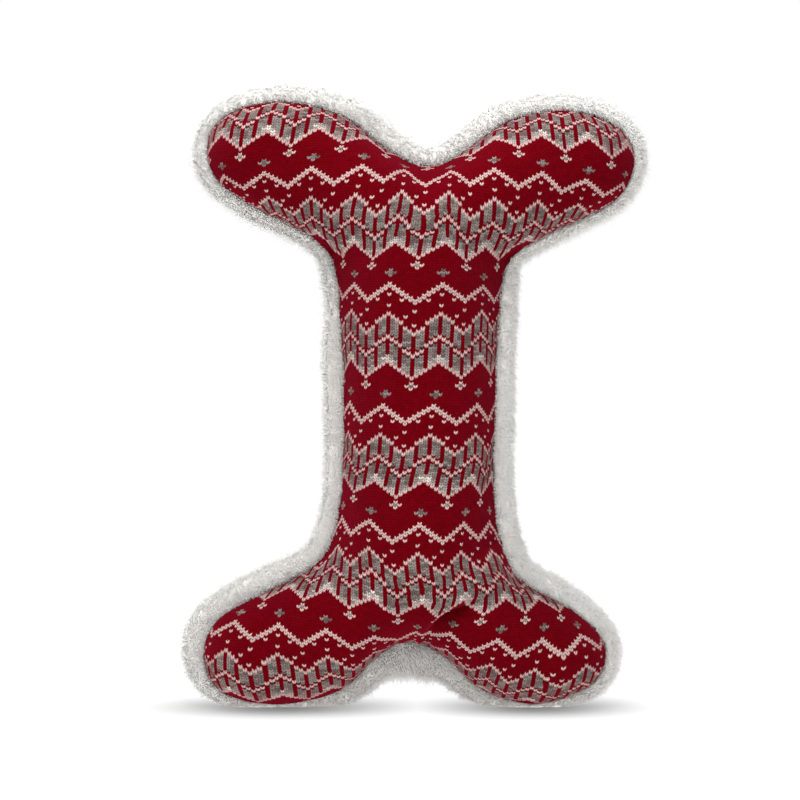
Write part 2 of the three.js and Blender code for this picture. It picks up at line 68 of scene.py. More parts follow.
# The inner line of the body, as (x, z): the hubs at the waist's ends and the middle of each lobe
UPPER_HUB = (0.75 * MM, 243.1 * MM)
LOWER_HUB = (0.75 * MM, 64.2 * MM)
UPPER_LEFT = (-73.0 * MM, 277.0 * MM)
LOWER_LEFT = (-75.1 * MM, 30.6 * MM)
LOWER_RIGHT = (67.7 * MM, 30.6 * MM)
UPPER_RIGHT = (76.2 * MM, 274.0 * MM)
HUB_DEPTH = 40 * MM
LOBE_DEPTH = 31 * MM
WAIST_DEPTH = 36 * MM

# Stations on the edge for each corner of the solid's, and those on each side of a lobe, round its tip and
# along the waist
STEPS = 2
SIDE_STATIONS = 6 * STEPS
TIP_STATIONS = 10 * STEPS
WAIST_STATIONS = 8 * STEPS
DOME_RINGS = 14

# Cloth and seam
KNIT_THICKNESS = 2 * MM
BACKING_THICKNESS = 1.5 * MM
ALLOWANCE = 7 * MM
ALLOWANCE_THICKNESS = 1.2 * MM
SEAM_GAP = 0.15 * MM
FIT_GAP = 0.3 * MM
CLOTH_FLOOR = 0.2 * MM


# settings


def number(name, description, default, **more):
    return bpy.props.FloatProperty(name=name, description=description, default=default, **more)


def length(name, description, default):
    return number(name, description, default, unit="LENGTH", subtype="DISTANCE", precision=5)


def share(name, description, default):
    return number(name, description, default, subtype="FACTOR", min=0, max=1)


def colour(name, description, default):
    return bpy.props.FloatVectorProperty(
        name=name, description=description, default=default, subtype="COLOR", size=3, min=0, max=1
    )


class ToyKnitSettings(bpy.types.PropertyGroup):
    """The knitted front"""

    stitch_width: length("Stitch width", "Distance between two columns of stitches", 2.1 * MM)
    stitch_height: length("Stitch height", "Distance between two rows of stitches", 1.335 * MM)
    stitch_relief: length("Stitch relief", "How far a stitch stands out of the cloth", 0.32 * MM)
    origin_x: length("Pattern x", "Where one peak of the thick zigzag is, across", -13.5 * MM)
    origin_z: length("Pattern z", "Where one peak of the thick zigzag is, up", 215.6 * MM)
    lean: number("Lean", "How far the columns drift sideways per length down", -0.045)
    pucker: length("Pucker depth", "Depth of the puckers in the hollows of the edge", 1.2 * MM)
    crease: length("Crease depth", "Depth of the crease at the lower right lobe", 8 * MM)
    ground: colour("Ground colour", "Colour of the ground yarn", (0.097, 0.0006, 0.0026))
    pattern: colour("Pattern colour", "Colour of the pale pattern yarn", (0.415, 0.29, 0.273))
    marl: colour("Marl colour", "Colour of the grey pattern yarn", (0.129, 0.12, 0.11))


class ToyPileSettings(bpy.types.PropertyGroup):
    """The plush back and its pile"""

    undercoat: length("Undercoat", "Thickness of the dense part of the pile", 7.3 * MM)
    hair_length: length("Lock length", "Length of a lock that stands out of the undercoat", 3.5 * MM)
    hair_width: length("Lock width", "Width of a lock at its root", 0.5 * MM)
    edge_density: number("Edge density", "Locks per square millimetre at the toy's edge", 3.4)
    back_density: number("Back density", "Locks per square millimetre on the back", 1.1)
    clump: share("Clumping", "How strongly neighbouring locks lean together", 0.55)
    colour: colour("Pile colour", "Colour of the pile", (0.885, 0.875, 0.84))
    seed: bpy.props.IntProperty(name="Seed", description="Seed of the pile's random places", default=7)


class ToySewingSettings(bpy.types.PropertyGroup):
    """Threads"""

    stitch_length: length("Stitch length", "Length of one lockstitch", 3 * MM)
    thread_radius: length("Thread radius", "Radius of the seam's threads", 0.33 * MM)
    colour: colour("Thread colour", "Colour of the threads", (0.78, 0.75, 0.69))


class ToyFillingSettings(bpy.types.PropertyGroup):
    """Fibre filling and squeaker"""

    fibre: colour("Fibre colour", "Colour of the fibre filling", (0.86, 0.87, 0.88))
    bulb: colour("Bulb colour", "Colour of the squeaker's bulb", (0.80, 0.77, 0.68))
    plug: colour("Plug colour", "Colour of the squeaker's plug", (0.62, 0.66, 0.69))
    reed: colour("Reed colour", "Colour of the squeaker's reed", (0.55, 0.63, 0.68))


class ToyStageSettings(bpy.types.PropertyGroup):
    """Floor, lights and camera"""

    floor: colour("Floor colour", "How much of the lights' white the floor shows", (0.07, 0.069, 0.068))
    bounce: colour("Floor bounce", "How much of that white it throws back on the toy", (0.85, 0.85, 0.84))
    # The floor's glow under the soles sets how deep its painted shadow is there.
    glow: share("Floor glow", "How much of the floor's white is its own under the soles", 0.2)
    lit: share("Floor light", "How bright the floor's own glow is for the toy", 0.52)
    camera_distance: length("Camera distance", "From the camera to the seam", 1.25)
    camera_rise: number("Camera rise", "Angle of the camera above level", math.radians(4), subtype="ANGLE")
    view_width: length("View width", "Width of what the camera sees at the seam", 400 * MM)
    view_x: length("View x", "Middle of the view, across", -8.7 * MM)
    view_z: length("View z", "Middle of the view, up", 155.2 * MM)


# meshes


def read(items, key, width=3, kind=float):
    """A property of all of a mesh's items, one row for each."""
    values = np.empty(width * len(items), kind)
    items.foreach_get(key, values)
    return values.reshape(-1, width)


def mesh_points(mesh):
    return read(mesh.vertices, "co")


def mesh_normals(mesh):
    return read(mesh.vertex_normals, "vector")


def mesh_triangles(mesh):
    mesh.calc_loop_triangles()
    return read(mesh.loop_triangles, "vertices", kind=int)


def set_points(mesh, points):
    mesh.vertices.foreach_set("co", np.asarray(points, np.float32).ravel())
    mesh.update()


def store(mesh, name, values):
    """Gives a mesh's points a named number or vector."""
    kind, key = ("FLOAT", "value") if values.ndim == 1 else ("FLOAT_VECTOR", "vector")
    mesh.attributes.new(name, kind, "POINT").data.foreach_set(key, values.astype(np.float32).ravel())


def mesh_from(name, points, faces):
    mesh = bpy.data.meshes.new(name)
    mesh.from_pydata(np.asarray(points).tolist(), [], faces)
    mesh.validate()
    mesh.shade_smooth()
    mesh.update()
    return mesh


def new_object(name, mesh):
    made = bpy.data.objects.new(name, mesh)
    bpy.context.scene.collection.objects.link(made)
    return made


def evaluated_mesh(obj):
    """A plain copy of an object's mesh with its modifiers applied."""
    graph = bpy.context.evaluated_depsgraph_get()
    return bpy.data.meshes.new_from_object(obj.evaluated_get(graph), depsgraph=graph)


def discard(obj):
    data = obj.data
    bpy.data.objects.remove(obj)
    bpy.data.meshes.remove(data)


def subdivided(mesh, levels):
    """The mesh after so many levels of subdivision. It takes the place of the one given."""
    coarse = new_object(mesh.name, mesh)
    finer = coarse.modifiers.new("finer", "SUBSURF")
    finer.levels = finer.render_levels = levels
    fine = evaluated_mesh(coarse)
    discard(coarse)
    return fine


def welded(mesh):
    """A mesh's points and triangles, with the corners at one place counted once."""
    points, corners = mesh_points(mesh), mesh_triangles(mesh)
    places = np.round(points / 1e-6).astype(int)
    _, first, place_of = np.unique(places, axis=0, return_index=True, return_inverse=True)
    return points[first], place_of.reshape(-1)[corners]


def normals_of(points, faces):
    mesh = mesh_from("normals", points, faces)
    normals = mesh_normals(mesh)
    bpy.data.meshes.remove(mesh)
    return normals


def smooth_step(value):
    value = np.clip(value, 0, 1)
    return value * value * (3 - 2 * value)


def normalised(vectors):
    return vectors / np.maximum(np.linalg.norm(vectors, axis=-1, keepdims=True), 1e-12)


def unevenness(points, size, seed):
    """Slow waves between -1 and 1 over a surface."""
    shift = Vector((seed * 3.7, seed * 1.3, seed * 2.1))
    return np.array([noise.noise(Vector(p) / size + shift) for p in points])


def blended(flat, chosen, reach):
    """Values at places (x, z), passing smoothly between those chosen: rows of x and z in mm and values."""
    total = np.full(len(flat), 1e-9)
    result = 0
    for x, z, *values in chosen:
        far = ((flat - np.array((x, z)) * MM) ** 2).sum(axis=1)
        weight = np.exp(-far / (2 * reach**2)) + 1e-3 / (1 + far / reach**2)
        total = total + weight
        result = result + weight[:, None] * np.array(values)
    return result / total[:, None]


# the body's surface


def sewn_edge():
    """The corners of the knit panel's outer edge as (x, z), from the notch down the left side and back."""
    points, faces = welded(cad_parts["front_knit_panel"].data)
    level = points[:, 1].max()
    reach = np.full(len(points), level)
    for k in range(3):
        np.minimum.at(reach, faces[:, k], points[faces, 1].min(axis=1))
    on_edge = (points[:, 1] > level - 0.1 * MM) & (reach < level - 2 * ALLOWANCE_THICKNESS - KNIT_THICKNESS)
    beside = {int(k): set() for k in np.flatnonzero(on_edge)}
    for face in faces.tolist():
        for a in face:
            beside.get(a, set()).update(b for b in face if b != a and on_edge[b])
    notch = min(
        (k for k in beside if abs(points[k, 0]) < ALLOWANCE * 2 and points[k, 2] > UPPER_HUB[1]),
        key=lambda k: points[k, 2] + abs(points[k, 0] - UPPER_HUB[0]) * 0.1,
    )
    ring = [notch, min(beside[notch], key=lambda k: points[k, 0])]
    while len(ring) < len(beside):
        ring.append(next(k for k in beside[ring[-1]] if k != ring[-2]))
    return points[ring][:, [0, 2]]


def finer_ring(corners):
    """A closed smooth line through the corners, with STEPS places for each."""
    before, after, beyond = (np.roll(corners, shift, axis=0) for shift in (1, -1, -2))
    rows = []
    for k in range(STEPS):
        t = k / STEPS
        square = 2 * before - 5 * corners + 4 * after - beyond
        cube = 3 * corners - before - 3 * after + beyond
        rows.append(0.5 * (2 * corners + (after - before) * t + square * t**2 + cube * t**3))
    return np.stack(rows, axis=1).reshape(-1, 2)


def lobe_depth(along):
    return HUB_DEPTH + (LOBE_DEPTH - HUB_DEPTH) * smooth_step(along)


def waist_depth(along):
    return WAIST_DEPTH + (HUB_DEPTH - WAIST_DEPTH) * smooth_step(abs(2 * along - 1))


class Body:
    """The sewn body as stations along its edge and rings that rise from there to its inner line."""

    def __init__(self):
        self.rim = finer_ring(sewn_edge())
        spine, depth, labels = [], [], []

        def stretch(start, end, last, depth_at, places):
            for at in places:
                along = at / last
                spine.append((1 - along) * np.array(start) + along * np.array(end))
                depth.append(depth_at(along))
                labels.append(start if at == 0 else end if at == last else (start, end, at))

        tip = [SIDE_STATIONS] * TIP_STATIONS
        lobe = SIDE_STATIONS, lobe_depth, [*range(SIDE_STATIONS), *tip, *range(SIDE_STATIONS, 0, -1)]
        waist = LOWER_HUB, UPPER_HUB, WAIST_STATIONS, waist_depth
        stretch(UPPER_HUB, UPPER_LEFT, *lobe)
        stretch(*waist, range(WAIST_STATIONS, 0, -1))
        stretch(LOWER_HUB, LOWER_LEFT, *lobe)
        stretch(LOWER_HUB, LOWER_RIGHT, *lobe)
        stretch(*waist, range(WAIST_STATIONS))
        stretch(UPPER_HUB, UPPER_RIGHT, *lobe)
        self.spine = np.array(spine)
        self.depth = np.array(depth)
        numbers = {}
        self.spine_number = np.array([numbers.setdefault(label, len(numbers)) for label in labels])
        self.spine_first = np.array([labels.index(label) for label in numbers])
        self.count = len(self.rim)
        along = normalised(np.roll(self.rim, -1, axis=0) - np.roll(self.rim, 1, axis=0))
        self.inward = np.stack([-along[:, 1], along[:, 0]], axis=1)

    def dome(self, side):
        """Rings of one side, from the first above the edge, and the inner line's points."""
        rings = []
        for k in range(1, DOME_RINGS):
            angle = math.pi / 2 * k / DOME_RINGS
            place = self.rim + (self.spine - self.rim) * (1 - math.cos(angle))
            rings.append(self.at(place, SEAM_Y + side * self.depth * math.sin(angle)))
        return rings, self.at(self.spine, SEAM_Y + side * self.depth)[self.spine_first]

    def at(self, place, y):
        return np.stack([place[:, 0], np.broadcast_to(y, len(place)), place[:, 1]], axis=1)

    def edge_ring(self, y, inset=0.0):
        ring = self.at(self.rim + self.inward * np.reshape(inset, (-1, 1)), y)
        ring[:, 2] = np.maximum(ring[:, 2], CLOTH_FLOOR)
        return ring


def band(a, b):
    """Faces between two rings of point numbers, which may repeat a number."""
    faces = []
    for i in range(len(a)):
        j = (i + 1) % len(a)
        corners = [a[i], a[j], b[j], b[i]]
        face = [c for k, c in enumerate(corners) if c != corners[k - 1]]
        if len(face) > 2:
            faces.append(face)
    return faces


def rings_to_mesh(body, start, rings, end):
    """Points and faces of a surface through rings. start and end are a crown's points, or None if open."""
    points, lines, faces = [], [], []
    total = 0
    for part in (start, *rings, end):
        if part is not None:
            in_part = body.spine_number if part is start or part is end else np.arange(body.count)
            lines.append((total + in_part).tolist())
            points.append(part)
            total += len(part)
    for a, b in zip(lines, lines[1:]):
        faces += band(a, b)
    return np.concatenate(points), faces


def turned(faces):
    return [face[::-1] for face in faces]


def panel_surface(body, rings, crown, side, offset, sculpt=None):
    """One side of the body moved outwards by an offset: its points, its faces, and its rings and crown."""
    points, faces = rings_to_mesh(body, crown, [*rings[::-1], body.edge_ring(SEAM_Y)], None)
    if side < 0:
        faces = turned(faces)
    normals = normals_of(points, faces)
    if sculpt:
        points = sculpt(points, normals)
    points = points + normals * offset
    pieces = np.split(points, [len(crown) + k * body.count for k in range(DOME_RINGS)])
    return points, faces, pieces[1:-1][::-1], pieces[0]


def inner_shell(body, rings, crown, side, thickness, sculpt=None):
    """Rings of a panel's turned-in allowance and inner face, from the edge inwards, and its inner crown."""
    _, _, inner_rings, inner_crown = panel_surface(body, rings, crown, side, -thickness, sculpt)
    face_y = SEAM_Y + side * SEAM_GAP
    under_y = face_y + side * ALLOWANCE_THICKNESS
    rows = [
        body.edge_ring(face_y, ALLOWANCE * 0.5),
        body.edge_ring(face_y, ALLOWANCE),
        body.edge_ring(under_y, ALLOWANCE),
        body.edge_ring(under_y, thickness * 1.3),
    ]
    return [*rows, *inner_rings[1:]], inner_crown


POLE_REACH = 9 * MM
POLE_PASSES = 60


def evened_at_lobes(values, mesh):
    """Points' values, evened out with their neighbours' near a lobe's middle, where the stations meet."""
    a, b = read(mesh.edges, "vertices", 2, int).T
    near = np.zeros(len(values))
    for lobe in (UPPER_LEFT, LOWER_LEFT, LOWER_RIGHT, UPPER_RIGHT):
        far = np.linalg.norm(values[:, [0, 2]] - np.array(lobe), axis=1)
        near = np.maximum(near, smooth_step(2 - 2 * far / POLE_REACH))
    joined = np.bincount(np.concatenate([a, b]), minlength=len(values))
    for _ in range(POLE_PASSES):
        total = np.zeros_like(values)
        np.add.at(total, a, values[b])
        np.add.at(total, b, values[a])
        values = values + (total / joined[:, None] - values) * near[:, None]
    return values


SETTLING_FRAMES = 16
SETTLING_CAP = 3 * MM
CLOTH = {
    "quality": 6,
    "mass": 0.2,
    "tension_stiffness": 40,
    "compression_stiffness": 40,
    "tension_damping": 25,
    "compression_damping": 25,
    "shear_stiffness": 8,
    "bending_stiffness": 0.3,
    "air_damping": 5,
    "vertex_group_mass": "seam",
    "use_pressure": True,
    "uniform_pressure_force": 250,
    "shrink_min": -0.012,
}


def settled_body(body):
    """The front's and back's rings and crowns, after the cloth has settled under the filling's pressure."""
    front, front_crown = body.dome(-1)
    back, back_crown = body.dome(1)
    rings = [*front[::-1], body.edge_ring(SEAM_Y), *back]
    points, faces = rings_to_mesh(body, front_crown, rings, back_crown)
    points = settle_cloth(body, points, turned(faces), len(front_crown) + len(front) * body.count)
    parts = np.split(points, np.cumsum([len(front_crown)] + [body.count] * (2 * DOME_RINGS - 1)))
    return (parts[1:DOME_RINGS][::-1], parts[0]), (parts[DOME_RINGS + 1 : -1], parts[-1])


def settle_cloth(body, points, faces, first_on_seam):
    """Runs a short cloth simulation with the seam held, and limits how far a point may go."""
    cloth_object = new_object("settling_cloth", mesh_from("settling_cloth", points, faces))
    seam = cloth_object.vertex_groups.new(name="seam")
    seam.add(list(range(first_on_seam, first_on_seam + body.count)), 1.0, "REPLACE")
    cloth = cloth_object.modifiers.new("cloth", "CLOTH")
    for key, value in CLOTH.items():
        setattr(cloth.settings, key, value)
    cloth.settings.effector_weights.gravity = 0
    cloth.collision_settings.use_collision = False
    cloth.point_cache.frame_start = 1
    cloth.point_cache.frame_end = SETTLING_FRAMES
    scene = bpy.context.scene
    for step in range(1, SETTLING_FRAMES + 1):
        scene.frame_set(step)
    settled = mesh_points(evaluated_mesh(cloth_object))
    discard(cloth_object)
    scene.frame_set(1)
    moved = settled - points
    far = np.linalg.norm(moved, axis=1, keepdims=True)
    return points + moved * np.minimum(1, SETTLING_CAP / np.maximum(far, 1e-9))


# folds in the front

# Puckers run in from the hollows of the edge: place (x, z) and direction in, width along the edge, strength
HOLLOWS = (
    ((-41.5, 225.0), (0.75, 0.15), 15, 1.0),
    ((44.5, 224.0), (-0.75, 0.15), 14, 0.7),
    ((-41.5, 88.0), (0.75, -0.3), 13, 0.7),
    ((43.0, 86.0), (-0.75, -0.3), 14, 1.0),
    ((1.8, 272.0), (0.0, -1.0), 16, 0.6),
    ((-3.0, 34.0), (0.0, 1.0), 14, 0.8),
)
PUCKER_WAVE = 8.5 * MM
PUCKER_REACH = 17 * MM

# The crease where the lower right lobe is pushed up against the body: its line, as (x, z)
CREASE_LINE = ((4.8, 40.5), (9.6, 48.0), (16.0, 53.0), (22.0, 56.5), (29.0, 59.5))
CREASE_WIDTH = 2.0 * MM
CREASE_FLAP = 5.5 * MM
CREASE_SWELL = 7 * MM
CREASE_ROOM = 2.5 * MM

FRONT_LUMP_SIZE = 34 * MM
FRONT_LUMP = 1.1 * MM
FOLDS_FROM_SEAM = 11 * MM


def pucker_depth(points):
    """How far the cloth dips in the puckers that run in from the hollows of the edge."""
    depth = np.zeros(len(points))
    for place, direction, width, strength in HOLLOWS:
        inwards = normalised(np.array(direction))
        offset = points[:, [0, 2]] - np.array(place) * MM
        run = np.maximum(offset @ inwards, 0) / PUCKER_REACH
        aside = offset @ np.array([-inwards[1], inwards[0]])
        fade = np.exp(-(run**1.5)) * np.exp(-((aside / (width * MM)) ** 2))
        depth += strength * fade * (0.5 + 0.5 * np.cos(2 * math.pi * (aside / (1 + run)) / PUCKER_WAVE))
    return depth


def crease_profile(points):
    """Depth of the crease: sharp at its upper side, where cloth swells over it, and slow at its lower."""
    line = np.array(CREASE_LINE) * MM
    flat = points[:, [0, 2]]
    best = np.full(len(points), 1e3)
    side = np.zeros(len(points))
    at = np.zeros(len(points))
    lengths = np.linalg.norm(np.diff(line, axis=0), axis=1)
    start = 0.0
    for a, b, span in zip(line, line[1:], lengths):
        along = (b - a) / span
        reach = np.clip((flat - a) @ along, 0, span)
        off = flat - (a + reach[:, None] * along)
        far = np.linalg.norm(off, axis=1)
        nearer = far < best
        best = np.where(nearer, far, best)
        side = np.where(nearer, np.sign(along[0] * off[:, 1] - along[1] * off[:, 0]), side)
        at = np.where(nearer, (start + reach) / lengths.sum(), at)
        start += span
    ends = np.sin(math.pi * np.clip(0.12 + 0.84 * at, 0, 1)) ** 0.6
    groove = np.where(side < 0, np.exp(-best / CREASE_FLAP), np.exp(-((best / CREASE_WIDTH) ** 2)))
    swell = np.exp(-(((best - CREASE_SWELL) / CREASE_SWELL) ** 2)) * np.where(side < 0, 0.0, 0.36)
    return (groove - swell) * ends * np.exp(-np.maximum(best - 2 * CREASE_SWELL, 0) / CREASE_SWELL)


def folded(points, normals, knit):
    """The front's points with its creases, puckers and lumps."""
    dip = knit.pucker * pucker_depth(points) + knit.crease * crease_profile(points)
    dip -= FRONT_LUMP * unevenness(points, FRONT_LUMP_SIZE, 1)
    inwards = np.clip((SEAM_Y - points[:, 1]) / FOLDS_FROM_SEAM, 0, 1)
    return points - normals * (dip * inwards)[:, None]


def folded_inside(points, normals):
    """The front's inner points: folded like its outer ones, and a little further in under the crease."""
    sunk = CREASE_ROOM * np.clip(crease_profile(points), 0, 1)
    return folded(points, normals, bpy.context.scene.toy_knit) - normals * sunk[:, None]


# the knit

RELAXING_PASSES = 500
RELAXING_SPEED = 1.6


def flat_places(body, rings, crown):
    """Where the front's points lie on the flat cloth, as (across, up): the crown, then rings to the edge."""
    stack = [body.edge_ring(SEAM_Y), *rings, crown[body.spine_number]]
    steps = [np.linalg.norm(b - a, axis=1) for a, b in zip(stack, stack[1:])]
    outwards = normalised(body.rim - body.spine)
    reach = np.zeros(body.count)
    flat = [body.spine[body.spine_first]]
    for step in steps[::-1]:
        reach = reach + step
        flat.insert(1, body.spine + outwards * reach[:, None])
    points = np.concatenate([crown, *stack[:-1]])
    starts = len(crown) + body.count * np.arange(DOME_RINGS)
    lines = [*(start + np.arange(body.count) for start in starts), body.spine_number]
    pairs = [(line, np.roll(line, -1)) for line in lines]
    for a, b in zip(lines, lines[1:]):
        pairs += [(a, np.roll(b, shift)) for shift in (-1, 0, 1)]
    pairs = np.concatenate(pairs, axis=1).T
    pairs = np.unique(np.sort(pairs[pairs[:, 0] != pairs[:, 1]], axis=1), axis=0)
    wanted = np.linalg.norm(points[pairs[:, 0]] - points[pairs[:, 1]], axis=1)
    flat = relaxed(np.concatenate(flat), pairs, wanted)
    return np.concatenate([flat[: len(crown)], *np.split(flat[len(crown) :], DOME_RINGS)[::-1]])


def relaxed(flat, pairs, wanted):
    """Moves flat points until their distances are near the wanted ones."""
    a, b = pairs.T
    joined = np.bincount(pairs.ravel(), minlength=len(flat))
    for _ in range(RELAXING_PASSES):
        gap = flat[b] - flat[a]
        far = np.linalg.norm(gap, axis=1)
        pull = gap * (0.5 * (far - wanted) / np.maximum(far, 1e-9))[:, None]
        move = np.zeros_like(flat)
        np.add.at(move, a, pull)
        np.add.at(move, b, -pull)
        flat = flat + RELAXING_SPEED * move / joined[:, None]
    return flat


def dense_front(body, rings, crown, knit):
    """The front as a fine mesh: its points, outward normals, triangles and places on the flat cloth."""
    points, faces = rings_to_mesh(body, crown, [*rings[::-1], body.edge_ring(SEAM_Y)], None)
    coarse = mesh_from("front", points, turned(faces))
    flat = flat_places(body, rings, crown)
    store(coarse, "flat", np.column_stack([flat, np.zeros(len(flat))]))
    fine = subdivided(coarse, 2)
    if np.median(mesh_normals(fine)[:, 1]) > 0:
        raise RuntimeError("the front's faces point inwards")
    triangles = mesh_triangles(fine)
    places = read(fine.attributes["flat"].data, "vector")[:, :2]
    both = evened_at_lobes(np.column_stack([mesh_points(fine), places]), fine)
    set_points(fine, both[:, :3])
    set_points(fine, folded(both[:, :3], mesh_normals(fine), knit))
    result = mesh_points(fine), mesh_normals(fine), triangles, both[:, 3:]
    bpy.data.meshes.remove(fine)
    return result


COLUMN_PARTS = 4
ROW_PARTS = 2
# A stitch of the chart in the ground colour, for the cloth's inner face
PLAIN_STITCH = (0.5, 33.5)

# How the stuffing and the crease shift the pattern, as seen in the photograph: a place on the front (x, z)
# in millimetres, and the shift there in stitches, across and down
PATTERN_SHIFTS = (
    (-95, 284, -7.0, -5.5), (-72, 286, -6.0, -7.0), (-48, 288, -5.0, -3.0), (-75, 262, -5.0, -3.0),
    (-51, 262, -4.5, -2.5), (-27, 266, -4.0, -1.0), (4, 271, -1.5, 5.0), (38, 284, 0.0, -2.5),
    (36, 262, 1.0, -2.0), (61, 285, 1.5, -6.5), (60, 260, 2.0, -3.5), (83, 284, 3.5, -9.0),
    (103, 280, 4.5, -9.0), (82, 258, 3.5, -5.5), (-32, 243, -1.5, -2.0), (3, 247, -1.0, -1.0),
    (38, 242, 0.0, -3.5), (0, 215, 0.0, 0.0), (0, 175, 0.0, -0.5), (0, 138, 1.2, -0.5),
    (0, 105, 2.5, 0.0), (-40, 83, 3.5, 2.5), (0, 82, 3.2, 0.0), (36, 82, 5.0, 1.0),
    (-63, 64, 0.8, 6.5), (-42, 66, 0.5, 3.0), (-5, 62, 0.8, -0.5), (38, 60, 2.5, 0.5),
    (61, 57, 5.0, 1.0), (-80, 40, -1.0, 6.0), (-44, 38, -0.7, 5.5), (-15, 38, 0.5, 1.0),
    (18, 36, 6.5, 2.5), (40, 38, 7.7, 2.0), (75, 36, 10.0, 0.5), (-68, 22, -1.8, 7.0),
    (58, 20, 9.5, 1.5),
)
SHIFT_REACH = 11 * MM
POINTS_AT_ORIGIN = 24


def stitch_places(points, flat, knit):
    """Flat places in stitches: columns to the right, and rows down, from a peak of the thick zigzag."""
    on_front = points[:, 1] < SEAM_Y - 0.5 * WAIST_DEPTH
    target = np.array([knit.origin_x, knit.origin_z])
    far = np.linalg.norm(points[:, [0, 2]] - target, axis=1) + np.where(on_front, 0, 1)
    nearest = np.argsort(far)[:POINTS_AT_ORIGIN]
    weight = 1 / (far[nearest] + 0.2 * MM)
    origin = (flat[nearest] * weight[:, None]).sum(axis=0) / weight.sum()
    away = flat - origin
    down = -away[:, 1]
    across = away[:, 0] - knit.lean * down
    even = np.column_stack([across / knit.stitch_width + 0.5, down / knit.stitch_height])
    return even + blended(points[:, [0, 2]], PATTERN_SHIFTS, SHIFT_REACH)


def cross(u, v):
    return u[:, 0] * v[:, 1] - u[:, 1] * v[:, 0]


def cloth_grid(points, normals, triangles, stitches):
    """The front at a regular grid of quarter columns and half rows: places, normals and which exist."""
    scaled = stitches * np.array([COLUMN_PARTS, ROW_PARTS])
    low = np.floor(scaled.min(axis=0)).astype(int)
    size = np.ceil(scaled.max(axis=0)).astype(int) - low + 1
    values = np.column_stack([points, normals])
    grid = np.zeros((*size, 6))
    known = np.zeros(size, bool)
    corners = scaled[triangles]
    a, b, c = corners.transpose(1, 0, 2)
    first = np.ceil(corners.min(axis=1)).astype(int)
    last = np.floor(corners.max(axis=1)).astype(int)
    turn = cross(b - a, c - a)
    turn = np.where(np.abs(turn) < 1e-12, 1e-12, turn)
    for step in np.ndindex(*((last - first).max(axis=0) + 1)):
        node = first + step
        wb = cross(node - a, c - a) / turn
        wc = cross(b - a, node - a) / turn
        weights = np.column_stack([1 - wb - wc, wb, wc])
        hit = (weights > -1e-6).all(axis=1) & (node <= last).all(axis=1)
        at = tuple((node[hit] - low).T)
        grid[at] = (values[triangles[hit]] * weights[hit][:, :, None]).sum(axis=1)
        known[at] = True
    return low, grid[..., :3], normalised(grid[..., 3:]), known


def stitch_relief(column, row):
    """How high a stitch's two legs stand at a place given in stitches, from 0 to 1."""
    off = np.abs(column - np.floor(column) - 0.5)
    leg = np.cos((off - 0.25) * 2 * math.pi) * 0.5 + 0.5
    slant = row - (0.5 - off)
    along = 0.5 + 0.5 * np.cos(2 * math.pi * (slant - np.floor(slant) - 0.5))
    groove = np.clip(1 - off * 2, 0, 1) * 0.35
    return leg * (0.72 + 0.28 * along) + groove


def corner_values(grid):
    return grid[:-1, :-1], grid[1:, :-1], grid[:-1, 1:], grid[1:, 1:]


def clean_cells(inside):
    """Which cells to keep: those with four corners inside that meet no neighbour at one corner only."""
    keep = np.logical_and.reduce(corner_values(inside))
    while True:
        padded = np.pad(keep, 1)
        a, b, c, d = corner_values(padded)
        pinched = (a & d & ~b & ~c) | (b & c & ~a & ~d)
        beside = padded[:-2, 1:-1].astype(int) + padded[2:, 1:-1] + padded[1:-1, :-2] + padded[1:-1, 2:]
        bad = keep & (np.logical_or.reduce(corner_values(pinched)) | (beside < 2))
        if not bad.any():
            return keep
        keep = keep & ~bad


def boundary_loop(faces):
    """The numbers along the open edge of a mesh, in the direction of its faces."""
    edges = {(face[k - 1], corner) for face in faces for k, corner in enumerate(face)}
    following = {a: b for a, b in edges if (b, a) not in edges}
    loop = [min(following)]
    while following[loop[-1]] != loop[0]:
        loop.append(following[loop[-1]])
    if len(loop) != len(following):
        raise RuntimeError(f"the open edge is in more than one piece: {len(loop)} of {len(following)}")
    return np.array(loop)


def share_along(ring, points):
    """For each point, the nearest place on a closed line: its share of the length, and the place."""
    span = np.roll(ring, -1, axis=0) - ring
    size = np.linalg.norm(span, axis=1)
    start = np.concatenate([[0], np.cumsum(size)[:-1]])
    shares, places = [], []
    for point in points:
        t = np.clip(((point - ring) * span).sum(axis=1) / size**2, 0, 1)
        foot = ring + span * t[:, None]
        k = int(np.argmin(((point - foot) ** 2).sum(axis=1)))
        shares.append((start[k] + t[k] * size[k]) / size.sum())
        places.append(foot[k])
    return np.array(shares), np.array(places)


def zipped(loop_a, share_a, loop_b, share_b):
    """Triangles between two closed loops that run the same way, by their shares of the way round."""
    turned_loops = []
    for loop, shares in ((loop_a, share_a), (loop_b, share_b)):
        start = int(np.argmin(shares))
        shares = np.maximum.accumulate(np.roll(shares, -start))
        turned_loops.append((np.roll(loop, -start).tolist(), [*shares[1:], 1 + shares[0], math.inf]))
    (a, next_a), (b, next_b) = turned_loops
    i = j = 0
    faces = []
    while i < len(a) or j < len(b):
        ends = [a[i % len(a)], b[j % len(b)]]
        if next_a[i] <= next_b[j]:
            i += 1
            faces.append([a[i % len(a)], *ends])
        else:
            j += 1
            faces.append([*ends, b[j % len(b)]])
    return faces


